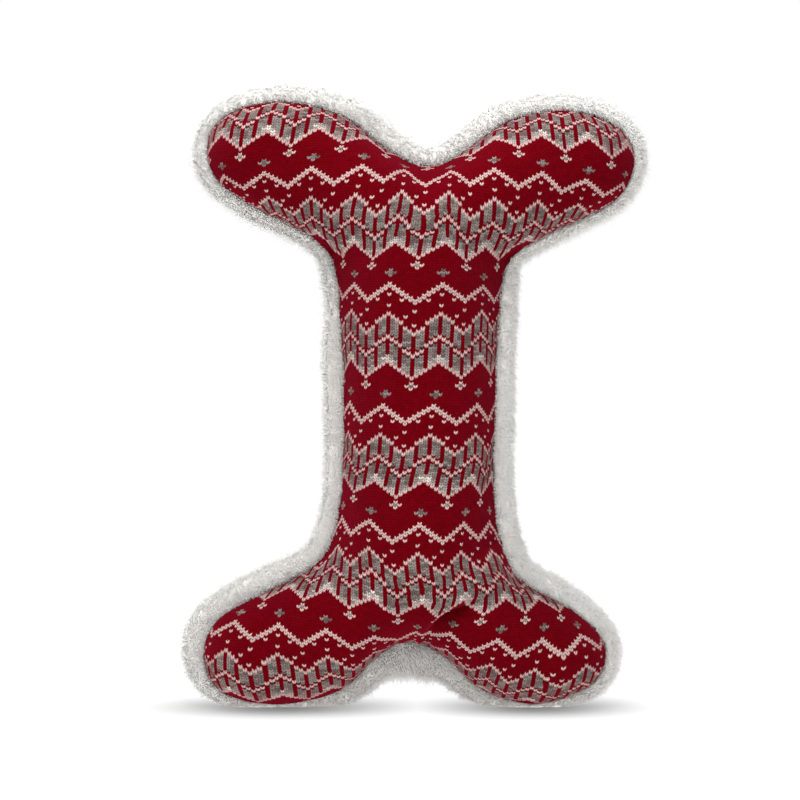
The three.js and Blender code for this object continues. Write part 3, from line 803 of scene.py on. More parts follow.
def build_knit(body, rings, crown, knit):
    """The knit panel's mesh: a grid of stitches in front, its turned-in allowance and its inner face."""
    points, normals, triangles, flat = dense_front(body, rings, crown, knit)
    stitches = stitch_places(points, flat, knit)
    low, place, square, known = cloth_grid(points, normals, triangles, stitches)
    cells = np.argwhere(clean_cells(known))
    corners = [tuple((cells + corner).T) for corner in ((0, 0), (0, 1), (1, 1), (1, 0))]
    used = np.zeros(known.shape, bool)
    for corner in corners:
        used[corner] = True
    number_at = np.cumsum(used).reshape(used.shape) - 1
    faces = np.stack([number_at[corner] for corner in corners], axis=1).tolist()
    uv = (np.argwhere(used) + low) / np.array([COLUMN_PARTS, ROW_PARTS])
    grid = place[used] + square[used] * (knit.stitch_relief * (stitch_relief(*uv.T) - 0.5))[:, None]
    # The grid's open edge is drawn onto the seam, and the allowance and the inner face follow from there.
    loop = boundary_loop(faces)
    edge = body.edge_ring(SEAM_Y - SEAM_GAP)
    shares, grid[loop] = share_along(edge, grid[loop])
    rows, inner_crown = inner_shell(body, rings, crown, -1, KNIT_THICKNESS, folded_inside)
    inner_points, inner_faces = rings_to_mesh(body, None, rows, inner_crown)
    inner_faces = [[len(grid) + c for c in face] for face in turned(inner_faces)]
    ring_shares, _ = share_along(edge, edge)
    ring_shares[0] = 0.0
    way = slice(None, None, 1 if np.median(np.diff(shares)) > 0 else -1)
    side = zipped(loop[way], shares[way], len(grid) + np.arange(body.count), ring_shares)
    faces += inner_faces + [face[way] for face in side]
    mesh = mesh_from("knit_panel", np.concatenate([grid, inner_points]), faces)
    made = bmesh.new()
    made.from_mesh(mesh)
    bmesh.ops.recalc_face_normals(made, faces=made.faces)
    made.to_mesh(mesh)
    made.free()
    whole_uv = np.concatenate([uv, np.tile(PLAIN_STITCH, (len(inner_points), 1))]).astype(np.float32)
    corner = read(mesh.loops, "vertex_index", 1, int)[:, 0]
    mesh.uv_layers.new(name="stitches").uv.foreach_set("vector", whole_uv[corner].ravel())
    return mesh


# node trees


class Value:
    """What comes out of a node. Arithmetic with it adds Math nodes."""

    def __init__(self, socket):
        self.socket = socket

    def math(self, operation, *others):
        inputs = dict(enumerate((self, *others)))
        return Nodes(self.socket.id_data).node("ShaderNodeMath", inputs, operation=operation)

    def near(self, other):
        return self.math("COMPARE", other, 0.5)

    __add__ = partialmethod(math, "ADD")
    __sub__ = partialmethod(math, "SUBTRACT")
    __mul__ = partialmethod(math, "MULTIPLY")
    mod = partialmethod(math, "FLOORED_MODULO")
    over = partialmethod(math, "GREATER_THAN")
    under = partialmethod(math, "LESS_THAN")
    either = partialmethod(math, "MAXIMUM")


def put(slot, value):
    """Gives a node's input a value, or links it to what comes out of another node."""
    if isinstance(value, Value):
        slot.id_data.links.new(value.socket, slot)
    else:
        slot.default_value = (*value, 1) if slot.type == "RGBA" and len(value) == 3 else value


class Nodes:
    """A node tree in the making."""

    def __init__(self, tree):
        self.tree = tree

    def node(self, kind, inputs=None, output=0, **settings):
        """One of the outputs of a new node with these inputs and settings."""
        made = self.tree.nodes.new(kind)
        for key, value in settings.items():
            setattr(made, key, value)
        for key, value in (inputs or {}).items():
            put(made.inputs[key], value)
        return Value(made.outputs[output])

    def vector(self, operation, *inputs):
        output = "Value" if operation == "LENGTH" else 0
        return self.node("ShaderNodeVectorMath", dict(enumerate(inputs)), output, operation=operation)

    def xyz(self, *parts):
        return self.node("ShaderNodeCombineXYZ", dict(enumerate(parts)))

    def mixed(self, factor, a, b, blend="MIX"):
        """A mix of two colours."""
        return self.node("ShaderNodeMix", {0: factor, 6: a, 7: b}, 2, data_type="RGBA", blend_type=blend)

    def toned(self, colour_value, tone):
        """A colour times a tone."""
        grey = self.node("ShaderNodeCombineColor", {0: tone, 1: tone, 2: tone})
        return self.mixed(1.0, colour_value, grey, "MULTIPLY")


class NodeGroup(Nodes):
    """A node group in the making, with the kinds of its inputs and outputs by their names."""

    def __init__(self, name, kind, inputs, outputs):
        super().__init__(bpy.data.node_groups.new(name, kind))
        sockets = [("INPUT", *socket) for socket in inputs.items()]
        sockets += [("OUTPUT", *socket) for socket in outputs.items()]
        for in_out, label, socket_kind in sockets:
            self.tree.interface.new_socket(label, in_out=in_out, socket_type="NodeSocket" + socket_kind)
        start = self.tree.nodes.new("NodeGroupInput")
        self.given = {label: Value(start.outputs[label]) for label in inputs}
        self.result = self.tree.nodes.new("NodeGroupOutput").inputs

    def finish(self, geometry):
        """Ends geometry nodes with plain geometry, smooth and painted."""
        realised = self.node("GeometryNodeRealizeInstances", {0: geometry})
        smooth = self.node("GeometryNodeSetShadeSmooth", {"Geometry": realised})
        inputs = {"Geometry": smooth, "Material": self.given["Material"]}
        put(self.result[0], self.node("GeometryNodeSetMaterial", inputs))

    def applied(self, mesh, name, **values):
        """The plain mesh that geometry nodes make from this mesh with these inputs."""
        carrier = new_object(name, mesh)
        modifier = carrier.modifiers.new("rule", "NODES")
        modifier.node_group = self.tree
        sockets = self.tree.interface.items_tree
        inputs = {socket.name: socket.identifier for socket in sockets if socket.in_out == "INPUT"}
        for key, value in values.items():
            modifier[inputs[key.replace("_", " ")]] = value
        made = evaluated_mesh(carrier)
        made.name = name
        bpy.data.objects.remove(carrier)
        return made


# looks

PATTERN_COLUMNS = 12
PATTERN_ROWS = 44
# The rows, counted from the thick zigzag's peak, of the lines below it and of the shapes in the ground
SECOND_LINE = 11
THIRD_LINE = 19
LOWER_LINE = 28
FLAKE_ROW = 37
DIAMOND_ROW = 40

# Single pale stitches on the ground between the thick zigzag and the next: column from the peak, and row
SINGLE_STITCHES = ((0, 4), (-3, 6), (3, 6), (0, 8), (-6, 10), (4, 12), (-6, 15))


def chart_group():
    """The zigzag chart: masks of the pale and grey stitches and of near-black painted shade beside the third
    line, and each stitch's relief and tone.
    """
    outputs = dict.fromkeys(("Pale", "Marl", "Dark", "Lift", "Height", "Tone"), "Float")
    group = NodeGroup("zigzag_chart", "ShaderNodeTree", {"Stitches": "Vector"}, outputs)
    x, y = (group.node("ShaderNodeSeparateXYZ", {0: group.given["Stitches"]}, axis) for axis in (0, 1))
    column = x.math("FLOOR")
    off = ((x - column) - 0.5).math("ABSOLUTE")
    slanted = y - (off * -1.0 + 0.5)
    row = slanted.math("FLOOR")
    across = (column + PATTERN_COLUMNS / 2).mod(PATTERN_COLUMNS) - PATTERN_COLUMNS / 2
    away = across.math("ABSOLUTE")
    down = row.mod(PATTERN_ROWS)
    fine = slanted.mod(PATTERN_ROWS)
    steep = (away * (7 / 6) + 0.4).math("FLOOR")
    second, third, lower = steep + SECOND_LINE, steep + THIRD_LINE, away + LOWER_LINE

    def within(value, low, high):
        return value.over(low) * value.under(high)

    def rows(line, first, last):
        return within(down - line, first - 0.5, last + 0.5)

    def line_of(line):
        # A line of single stitches, whose yarn bulges a little over the rows beside it
        return within(fine - line, -0.22, 1.18)

    plain = across.mod(3).under(0.5) * -1.0 + 1.0
    flake = (away * -1.0 + PATTERN_COLUMNS / 2) + (down - FLAKE_ROW).math("ABSOLUTE")
    diamond = (away + (down - DIAMOND_ROW).math("ABSOLUTE")).under(1.5)
    upper_band = (down - second).over(0.5) * (down - third).under(-1.5)
    lower_band = (down - third).over(1.5) * (down - lower).under(-0.5)
    pale = rows(away, 0, 1).either(within(flake, 0.5, 1.5))
    for line in (second, third, lower):
        pale = pale.either(line_of(line))
    for at, down_to in SINGLE_STITCHES:
        pale = pale.either(across.near(at) * down.near(down_to))
    # Painted shade: near-black specks above and below the third line, where the yarn changes and its holes
    # would lie in shadow.
    above, below = rows(third, -1, -1), rows(third, 1, 1)
    painted_hole_shade = (above * away.near(4)).either(below * away.near(2).either(away.near(5)))
    marl = (upper_band.either(lower_band) * plain).either(diamond).either(flake.under(0.5))
    plateau = rows(lower, -2, -1) * away.under(1.5)
    fade = lower_band * (down - lower).over(-2.5) * plain
    leg = ((off - 0.25) * (2 * math.pi)).math("COSINE") * 0.5 + 0.5
    along = ((slanted - row - 0.5) * (2 * math.pi)).math("COSINE") * 0.5 + 0.5
    put(group.result["Pale"], pale)
    put(group.result["Marl"], marl.either(plateau))
    put(group.result["Dark"], painted_hole_shade)
    put(group.result["Lift"], plateau.either(fade * 0.5))
    put(group.result["Height"], leg * (along * 0.55 + 0.45))
    random = {"Vector": group.xyz(column, row)}
    put(group.result["Tone"], group.node("ShaderNodeTexWhiteNoise", random, "Value", noise_dimensions="2D"))
    return group.tree


def fibre_group():
    """Fine fibres: a tone round 1 and a height, for yarn, pile, thread and filling."""
    inputs = {"Scale": "Float", "Stretch": "Vector", "Contrast": "Float"}
    group = NodeGroup("fine_fibres", "ShaderNodeTree", inputs, {"Tone": "Float", "Height": "Float"})
    place = group.node("ShaderNodeTexCoord", output="Object")
    stretched = group.vector("MULTIPLY", place, group.given["Stretch"])
    fine = {"Detail": 3.0, "Roughness": 0.65, "Distortion": 0.4}
    height = group.node("ShaderNodeTexNoise", {"Vector": stretched, "Scale": group.given["Scale"], **fine})
    broad = {"Vector": place, "Scale": 42.0, "Detail": 2.0, "Roughness": 0.5}
    mottle = (height - 0.5) + (group.node("ShaderNodeTexNoise", broad) - 0.5) * 0.6
    put(group.result["Tone"], mottle * group.given["Contrast"] + 1.0)
    put(group.result["Height"], height)
    return group.tree


class Look(Nodes):
    """A material with a Principled shader, in the making."""

    def __init__(self, name, roughness, sheen=0.0, **settings):
        self.material = bpy.data.materials.new(name)
        self.material.use_nodes = True
        super().__init__(self.material.node_tree)
        self.shader = self.tree.nodes["Principled BSDF"].inputs
        self.shader["Roughness"].default_value = roughness
        if sheen:
            self.shader["Sheen Weight"].default_value = sheen
            self.shader["Sheen Roughness"].default_value = 0.5
        for key, value in settings.items():
            self.shader[key.replace("_", " ")].default_value = value

    def shared(self, name, maker, inputs, *outputs):
        """Some outputs of a node with a node group that more than one material may use."""
        group = bpy.data.node_groups.get(name) or maker()
        made = self.node("ShaderNodeGroup", inputs, node_tree=group).socket.node
        return [Value(made.outputs[output]) for output in outputs]

    def fibres(self, scale, stretch, contrast):
        """The tone and the height of fine fibres."""
        inputs = {"Scale": scale, "Stretch": stretch, "Contrast": contrast}
        return self.shared("fine_fibres", fibre_group, inputs, "Tone", "Height")

    def bumped(self, height, distance, strength):
        inputs = {"Height": height, "Distance": distance, "Strength": strength}
        put(self.shader["Normal"], self.node("ShaderNodeBump", inputs))

    def fibrous(self, base_colour, scale, contrast, distance, strength, stretch=(1, 1, 1)):
        """Gives the look a colour that fine fibres make uneven, and their relief."""
        tone, height = self.fibres(scale, stretch, contrast)
        put(self.shader["Base Color"], self.toned(base_colour, tone))
        self.bumped(height, distance, strength)
        return self.material


def knit_material(knit):
    look = Look("zigzag_knit", 0.92, sheen=0.3, Specular_IOR_Level=0.0, Sheen_Tint=(0.55, 0.035, 0.09, 1))
    place = {0: look.node("ShaderNodeUVMap", uv_map="stitches")}
    names = "Pale", "Marl", "Dark", "Lift", "Height", "Tone"
    pale, marl, dark, lift, height, tone = look.shared("zigzag_chart", chart_group, place, *names)
    fibre_tone, fibre_height = look.fibres(1500.0, (1, 1, 0.45), 0.30)
    # The ground yarn shows in the gaps between the stitches of the other yarns.
    cover = (height * 2.2 - 0.22).math("MINIMUM", 1.0).either(0.12)
    fleck = tone * 0.75 + fibre_height * 0.9 + 0.18
    flecked = look.toned(knit.marl, fleck * (lift * 1.6 + 1.0))
    shade = look.mixed(marl * cover, knit.ground, flecked)
    shade = look.mixed(pale * cover, shade, knit.pattern)
    # The specks are painted near black, as painted shade in the holes where the yarn changes.
    shade = look.mixed(dark * cover, shade, (0.035, 0.012, 0.014))
    # The stitches' height shades their colour: painted shade in the gaps between the legs and painted light
    # on the legs. Each stitch's tone also differs at random, as yarn does.
    gap_shade_and_tone = (height * 0.55 + 0.55) * (tone * 0.22 + 0.89) * fibre_tone
    put(look.shader["Base Color"], look.toned(shade, gap_shade_and_tone))
    look.bumped(height + fibre_height * 0.25, 0.35 * MM, 0.85)
    return look.material


def plush_look(name, roughness, spread):
    """A look in which light spreads, as it does between real fibres."""
    soft = {"Subsurface_Weight": 0.8, "Subsurface_Radius": (1.0, 1.0, 1.0), "Subsurface_Scale": spread}
    return Look(name, roughness, sheen=0.1, Specular_IOR_Level=0.1, **soft)


def pile_material(pile):
    """White plush: painted shade darkens each lock towards its root, deep between the locks, and its tone is
    slightly uneven.
    """
    # The light's spread stays small: a lock's root lies in the dark of the undercoat.
    look = plush_look("plush_pile", 0.95, 0.6 * MM)
    fibre_tone, fibre_height = look.fibres(620.0, (1, 1, 1), 0.1)
    along = look.node("ShaderNodeAttribute", output="Fac", attribute_name="along")
    tone = look.node("ShaderNodeAttribute", output="Fac", attribute_name="tone")
    # Painted shade: each lock is painted darker towards its root and a little lighter at its tip.
    rise = along.math("POWER", 0.6) * 0.12 + 0.9
    put(look.shader["Base Color"], look.toned(pile.colour, rise * (tone * 0.14 + 0.93) * fibre_tone))
    look.bumped(fibre_height, 0.3 * MM, 0.4)
    return look.material


def undercoat_material(pile):
    look = plush_look("plush_undercoat", 0.97, 4 * MM)
    # The undercoat is painted a little darker than the locks, as painted shade deep in the pile.
    return look.fibrous([c * 0.97 for c in pile.colour], 480.0, 0.2, 0.5 * MM, 0.5)


def plastic(name, base_colour, roughness, **settings):
    """A plastic with faint unevenness in its finish."""
    return Look(name, roughness, **settings).fibrous(base_colour, 160.0, 0.06, 0.05 * MM, 0.3)


# the plush back

LIP_REACH = 5.4 * MM
CREST_FROM = 287 * MM
CREST_REACH = 10 * MM
ARCH = (-3.0 * MM, 34.0 * MM)
ARCH_REACH = 13 * MM
# The lip's section over the knit's edge, as shares of its reach forward and of the pile's depth outward
LIP_SECTION_SHARES = ((1, 0.2), (0.95, 0.5), (0.6, 0.86), (0, 1))
LIP_UNDERSIDE_SHARES = (0.45, 0.85)
UNDERCOAT_FLOOR = 0.6 * MM
LUMP_SIZE = 4.5 * MM
LUMP_HEIGHT = 1.3 * MM

# How full the border is at places (x, z) in millimetres round the edge, 1 for the undercoat's own thickness
FULLNESS = (
    (-105, 285, 0.85), (-70, 303, 1.1), (-35, 297, 1.3), (0, 280, 1.1), (32, 296, 1.25), (70, 301, 1.1),
    (105, 285, 0.65), (100, 250, 0.5), (60, 235, 0.6), (-90, 255, 0.75), (-45, 225, 0.65), (-45, 150, 1.1),
    (42, 190, 0.95), (42, 130, 1.0), (-45, 105, 0.95), (-60, 85, 1.15), (-90, 68, 1.4), (-107, 35, 1.45),
    (-95, 5, 0.8), (55, 85, 1.1), (80, 72, 1.2), (98, 40, 0.8), (85, 5, 0.8), (-3, 30, 2.15),
    (-31, 11, 1.15), (27, 11, 1.1),
)
FULLNESS_REACH = 14 * MM


def under_arch(flat):
    """How near places (x, z) are to the top of the arch between the lower lobes, from 0 to 1."""
    off = (flat - np.array(ARCH)) / ARCH_REACH
    return np.exp(-(off**2).sum(axis=1))


def beside_knit(body, front_rings, reach):
    """A ring against the knit's side, as far in front of the seam as reach says for each station."""
    stack = np.stack([body.edge_ring(SEAM_Y), *front_rings[:3]])
    ring = body.edge_ring(SEAM_Y - reach, -FIT_GAP)
    for k in range(body.count):
        for axis in (0, 2):
            along = np.interp(reach[k], SEAM_Y - stack[:, k, 1], stack[:, k, axis])
            ring[k, axis] += along - stack[0, k, axis]
    return ring


def undercoat_surface(body, rings, crown, pile, front_rings):
    """The plush back's closed surface: inner face, allowance, the lip round the knit's edge and the pile."""
    thickness = pile.undercoat * blended(body.rim, FULLNESS, FULLNESS_REACH)[:, 0]
    _, _, outer, outer_crown = panel_surface(body, rings, crown, 1, pile.undercoat)
    # Near the edge the pile's depth follows that at the edge.
    for k, ring in enumerate(outer):
        weight = smooth_step(1 - (k + 1) / 5)
        ring += (ring - rings[k]) * ((thickness / pile.undercoat - 1) * weight)[:, None]
    # The lip reaches further over the knit's edge on top of the upper lobes, and less at the soles.
    crest = smooth_step((body.rim[:, 1] - CREST_FROM) / CREST_REACH)
    reach = LIP_REACH * (1 + 0.8 * crest - 0.33 * np.maximum(body.inward[:, 1], 0))
    lip = [body.edge_ring(SEAM_Y + SEAM_GAP, -FIT_GAP)]
    for forward in LIP_UNDERSIDE_SHARES:
        lip.append(beside_knit(body, front_rings, forward * reach))
    for forward, outward in LIP_SECTION_SHARES:
        lip.append(body.edge_ring(SEAM_Y - forward * reach, -outward * thickness))
    rows, inner_crown = inner_shell(body, rings, crown, 1, BACKING_THICKNESS)
    stack = [*rows[::-1], *lip, *outer]
    for ring in stack:
        ring[:, 2] = np.maximum(ring[:, 2], UNDERCOAT_FLOOR)
    points, faces = rings_to_mesh(body, inner_crown, stack, outer_crown)
    faces = turned(faces)
    mesh = mesh_from("undercoat", points, faces)
    points = evened_at_lobes(points, mesh)
    bpy.data.meshes.remove(mesh)
    return points, faces, len(inner_crown) + (len(rows) + 2) * body.count


def lumpy_undercoat(points, faces):
    """The undercoat as a fine mesh with soft lumps on its outside."""
    mesh = subdivided(mesh_from("plush_back", points, faces), 1)
    fine = mesh_points(mesh)
    outside = np.clip((fine[:, 1] - SEAM_Y + LIP_REACH) / LIP_REACH, 0, 1)
    lumps = LUMP_HEIGHT * unevenness(fine, LUMP_SIZE, 2)
    fine = fine + mesh_normals(mesh) * (lumps * outside)[:, None]
    fine[:, 2] = np.maximum(fine[:, 2], CLOTH_FLOOR)
    set_points(mesh, fine)
    return mesh


# How the locks stand: the scale and pull of the waves that gather them, how far one strays and turns by
# itself, how far it bends, and how seldom and how far a long one stands out
CLUMP_SCALE = 210.0
CLUMP_PULL = 4.0
STRAY = 0.22
TURN = 1.2
BEND = 3.0
LONG_POWER = 26.0
LONG_SHARE = 0.8
LENGTH_SPREAD = 0.5
LEAST_LENGTH = 0.62
WIDTH_RANGE = (0.7, 1.25)


def pile_tree():
    """Locks of pile: bent tapered strands on a surface, leaning along its comb and together in clumps."""
    floats = dict.fromkeys(("Density", "Length", "Width", "Clump"), "Float")
    inputs = {"Geometry": "Geometry", **floats, "Seed": "Int", "Material": "Material"}
    made = NodeGroup("pile_locks", "GeometryNodeTree", inputs, {"Geometry": "Geometry"})
    node, given = made.node, made.given

    def named(name, kind="FLOAT"):
        return node("GeometryNodeInputNamedAttribute", {"Name": name}, data_type=kind)

    def random(low, high, seed):
        return node("FunctionNodeRandomValue", {2: low, 3: high, "Seed": seed}, 1, data_type="FLOAT")

    def marked(geometry, name, value):
        marks = {"Geometry": geometry, "Name": name, "Value": value}
        return node("GeometryNodeStoreNamedAttribute", marks, data_type="FLOAT", domain="POINT")

    density = named("density") * given["Density"]
    spots = {"Mesh": given["Geometry"], "Density": density, "Seed": given["Seed"]}
    points = node("GeometryNodeDistributePointsOnFaces", spots, "Points")
    place = node("GeometryNodeInputPosition")
    waves = {"Vector": place, "Scale": CLUMP_SCALE, "Detail": 1.0}
    waves = node("ShaderNodeTexNoise", waves, "Color", noise_dimensions="3D")
    centred = made.vector("SUBTRACT", waves, (0.5, 0.5, 0.5))
    strength = given["Clump"] * CLUMP_PULL
    gathered = node("ShaderNodeVectorMath", {0: centred, "Scale": strength}, operation="SCALE")
    stray = {0: [-STRAY] * 3, 1: [STRAY] * 3, "Seed": given["Seed"]}
    stray = node("FunctionNodeRandomValue", stray, data_type="FLOAT_VECTOR")
    heading = made.vector("ADD", made.vector("ADD", named("comb", "FLOAT_VECTOR"), gathered), stray)
    upright = node("FunctionNodeAlignRotationToVector", {"Vector": heading}, axis="Z")
    turn = node("FunctionNodeAxisAngleToRotation", {"Axis": (0, 0, 1), "Angle": random(-TURN, TURN, 3)})
    rotation = node("FunctionNodeRotateRotation", {0: upright, 1: turn}, rotation_space="LOCAL")
    # One lock: a three-sided cone in two steps, bent towards its tip
    cone = {"Vertices": 3, "Side Segments": 2, "Radius Top": 0.0, "Radius Bottom": 0.5, "Depth": 1.0}
    cone = node("GeometryNodeMeshCone", cone, "Mesh", fill_type="NGON")
    height = node("ShaderNodeSeparateXYZ", {0: place}, 2)
    bend = made.xyz(height.math("POWER", 2.0) * BEND)
    # The lock's height is kept as 'along', which the pile's look uses for painted shade towards the root.
    lock = node("GeometryNodeSetPosition", {"Geometry": marked(cone, "along", height), "Offset": bend})
    # Most locks are of much the same length, and a few stand out.
    chance = random(0.0, 1.0, 5)
    size = chance.math("POWER", LONG_POWER) * LONG_SHARE + (chance * LENGTH_SPREAD + LEAST_LENGTH)
    tall = size * given["Length"] * named("length")
    wide = random(*WIDTH_RANGE, 6) * given["Width"]
    locks = {"Points": marked(points, "tone", random(0.0, 1.0, 9)), "Instance": lock, "Rotation": rotation}
    locks["Scale"] = made.xyz(wide, wide, tall)
    made.finish(node("GeometryNodeInstanceOnPoints", locks))
    return made


PILE_REGIONS = 8
REGIONS_ROUND_Z = 154 * MM
DENSE_DEPTH = 16 * MM
SHORT_PILE_FROM = 2 * MM
SHORT_PILE_UNDER = 6 * MM
ARCH_PILE_RISE = 6 * MM
# How far the pile leans inwards and forwards over the lip, and hangs all over and in the arch
LIP_LEAN = 0.5
LIP_LEAN_FORWARD = 0.1
HANG = 0.22
ARCH_HANG = 1.2
# The pile's length over the lip and at the floor, 1 for the usual, and how much longer it is in the arch
LIP_LENGTH = 0.7
FLOOR_LENGTH = 0.35
ARCH_EXTRA_LENGTH = 1.3


def pile_scalps(body, points, faces, first_outer, pile):
    """The plush's outer surface in regions, each with the density, length and comb of its pile."""
    spread = pile.back_density / pile.edge_density
    depth = np.clip((points[:, 1] - SEAM_Y) / DENSE_DEPTH, 0, 1)
    density = 1 + (spread - 1) * smooth_step(depth)
    comb = normals_of(points, faces)
    front = np.clip((SEAM_Y - points[:, 1]) / LIP_REACH, 0, 1)
    station = (np.arange(len(points)) - first_outer) % body.count
    comb[:, [0, 2]] += LIP_LEAN * body.inward[station] * front[:, None]
    comb[:, 1] -= LIP_LEAN_FORWARD * front
    hanging = under_arch(points[:, [0, 2]] + np.array([0, ARCH_PILE_RISE]))
    comb[:, 2] -= HANG
    comb[:, 2] -= ARCH_HANG * hanging
    reach = np.where(points[:, 1] < SEAM_Y - SHORT_PILE_FROM, LIP_LENGTH, 1.0)
    reach = reach * (1 + ARCH_EXTRA_LENGTH * hanging)
    floor = np.clip(points[:, 2] / SHORT_PILE_UNDER, FLOOR_LENGTH, 1)
    keep = [f for f in faces if min(f) >= first_outer]
    centres = np.array([points[f].mean(axis=0) for f in keep])
    share_of = np.array([polygon_area(points[f]) * density[f].mean() for f in keep])
    order = np.argsort(np.arctan2(centres[:, 2] - REGIONS_ROUND_Z, centres[:, 0]))
    share_of = np.cumsum(share_of[order])
    region = np.empty(len(keep), int)
    region[order] = np.minimum((share_of / share_of[-1] * PILE_REGIONS).astype(int), PILE_REGIONS - 1)
    for k in range(PILE_REGIONS):
        chosen = [f for f, r in zip(keep, region) if r == k]
        used = sorted({c for f in chosen for c in f})
        renumber = {c: new for new, c in enumerate(used)}
        part = mesh_from(f"scalp_{k}", points[used], [[renumber[c] for c in f] for f in chosen])
        for name, values in (("density", density), ("length", reach * floor), ("comb", comb)):
            store(part, name, values[used])
        yield part


def polygon_area(corners):
    a = corners[1:-1] - corners[0]
    b = corners[2:] - corners[0]
    return 0.5 * np.linalg.norm(np.cross(a, b), axis=1).sum()


PRESSED_UNDER = 1.6 * MM


def pressed_on_floor(points):
    """Points with everything near or below the floor pressed into a thin layer on it."""
    low = points[:, 2] < PRESSED_UNDER
    points[low, 2] = PRESSED_UNDER * np.exp((points[low, 2] - PRESSED_UNDER) / PRESSED_UNDER)
    return points


# sewing, filling and squeaker

THREAD_LINE = 0.75 * ALLOWANCE
THREAD_LEVEL = SEAM_GAP + ALLOWANCE_THICKNESS + FIT_GAP + 0.35 * MM
THREAD_DIP = 0.12 * MM


def lockstitch_tree():
    """A row of lockstitches along a closed line, each dipping into the cloth at its ends."""
    floats = dict.fromkeys(("Stitch length", "Thread radius", "Dip"), "Float")
    inputs = {"Geometry": "Geometry", **floats, "Material": "Material"}
    made = NodeGroup("lockstitches", "GeometryNodeTree", inputs, {"Geometry": "Geometry"})
    node, given = made.node, made.given
    line = node("GeometryNodeMeshToCurve", {0: given["Geometry"]})
    steps = {"Curve": line, "Length": given["Stitch length"]}
    steps = node("GeometryNodeResampleCurve", steps, mode="LENGTH")
    tangent = {"Vector": node("GeometryNodeInputTangent")}
    aligned = node("FunctionNodeAlignRotationToVector", tangent, axis="X", pivot_axis="Y")
    start, finish = (made.xyz(given["Stitch length"] * half, given["Dip"]) for half in (-0.5, 0.5))
    arc = {"Resolution": 6, "Start": start, "Middle": made.xyz(0, given["Dip"] * -1.0), "End": finish}
    arc = node("GeometryNodeCurveQuadraticBezier", arc)
    section = node("GeometryNodeCurvePrimitiveCircle", {"Resolution": 6, "Radius": given["Thread radius"]})
    thread = node("GeometryNodeCurveToMesh", {"Curve": arc, "Profile Curve": section, "Fill Caps": True})
    row = {"Points": steps, "Instance": thread, "Rotation": aligned}
    made.finish(node("GeometryNodeInstanceOnPoints", row))
    return made


def closed_line(points):
    mesh = bpy.data.meshes.new("line")
    count = len(points)
    mesh.from_pydata(points.tolist(), [(k, (k + 1) % count) for k in range(count)], [])
    return mesh


FIBRE_LUMP = 11 * MM
FIBRE_DIP = 1.6 * MM
FIBRE_GRAIN = 2.4 * MM
FIBRE_CLEARANCE = 0.5 * MM


def cavity_skins():
    """The inner faces of both panels as search trees, with normals that point into the filling."""
    panels = ((Made.front, -1, -KNIT_THICKNESS, folded_inside), (Made.back, 1, -BACKING_THICKNESS, None))
    surfaces = [panel_surface(Made.body, *rings, *more) for rings, *more in panels]
    return [BVHTree.FromPolygons(points.tolist(), turned(faces)) for points, faces, _, _ in surfaces]


def kept_inside(points, skins):
    """Moves points that come too near a skin back into the filling."""
    kept = []
    for point in points:
        place = Vector(point)
        for skin in skins:
            foot, inwards, _, _ = skin.find_nearest(place)
            gap = (place - foot).dot(inwards)
            if gap < FIBRE_CLEARANCE:
                place += inwards * (FIBRE_CLEARANCE - gap)
        kept.append(place)
    return np.array(kept)


def fibre_mass(node_name, skins, seed):
    """The mesh of one part of the filling: its solid's form with loose lumps, clear of the skins."""
    points, faces = welded(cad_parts[node_name].data)
    mass = new_object(f"fibre_{seed}", mesh_from(node_name, points, faces.tolist()))
    remesh = mass.modifiers.new("remesh", "REMESH")
    remesh.mode = "VOXEL"
    remesh.voxel_size = FIBRE_GRAIN
    mass.modifiers.new("ease", "SMOOTH").iterations = 4
    mesh = evaluated_mesh(mass)
    discard(mass)
    points, normals = mesh_points(mesh), mesh_normals(mesh)
    lumps = np.abs(unevenness(points, FIBRE_LUMP, seed))
    lumps += 0.5 * np.abs(unevenness(points, FIBRE_LUMP / 3, seed))
    points = points - normals * (FIBRE_DIP * (0.15 + lumps))[:, None]
    set_points(mesh, kept_inside(points, skins))
    return mesh


# The squeaker's bulb, as in its solid: sizes along the axis from its back
BULB_CENTRE = (0.75 * MM, 155.5 * MM)
BULB_BACK_Y = -2.25 * MM
BULB_RADIUS = 24 * MM
BULB_LENGTH = 26 * MM
BULB_WALL = 1.2 * MM
BULB_SHOULDER = 5 * MM
PLEAT_DEPTH = 4.5 * MM
PLEAT_HALF_WIDTH = 3 * MM
NECK_BORE = 6.3 * MM
NECK_WALL = 1.7 * MM
NECK_LENGTH = 5 * MM
NECK_ROUNDING = 0.4 * MM
BULB_SEGMENTS = 72


def bulb_profile():
    """The bulb's section as (radius, distance forward of its back), outside first, from axis to axis."""
    quarter = [math.pi / 2 * k / 8 for k in range(9)]
    flat = BULB_RADIUS - BULB_SHOULDER
    back = [(flat + BULB_SHOULDER * math.sin(a), BULB_SHOULDER * (1 - math.cos(a))) for a in quarter]
    pleat = []
    for k in range(-8, 9):
        dip = PLEAT_DEPTH * (0.5 + 0.5 * math.cos(math.pi * k / 8)) ** 1.3
        pleat.append((BULB_RADIUS - dip, BULB_LENGTH / 2 + k / 8 * PLEAT_HALF_WIDTH))
    outside = [*back, *pleat, *((radius, BULB_LENGTH - forward) for radius, forward in back[::-1])]
    inside = []
    for radius, forward in outside:
        inside.append((radius - BULB_WALL, forward + BULB_WALL * (1 - 2 * forward / BULB_LENGTH)))
    neck_end = BULB_LENGTH + NECK_LENGTH
    neck = [
        (NECK_BORE + NECK_WALL, BULB_LENGTH),
        (NECK_BORE + NECK_WALL, neck_end - NECK_ROUNDING),
        (NECK_BORE + NECK_WALL - NECK_ROUNDING, neck_end),
        (NECK_BORE, neck_end),
        (NECK_BORE, BULB_LENGTH - BULB_WALL),
    ]
    return [(0, 0), *outside, *neck, *inside[::-1], (0, BULB_WALL)]


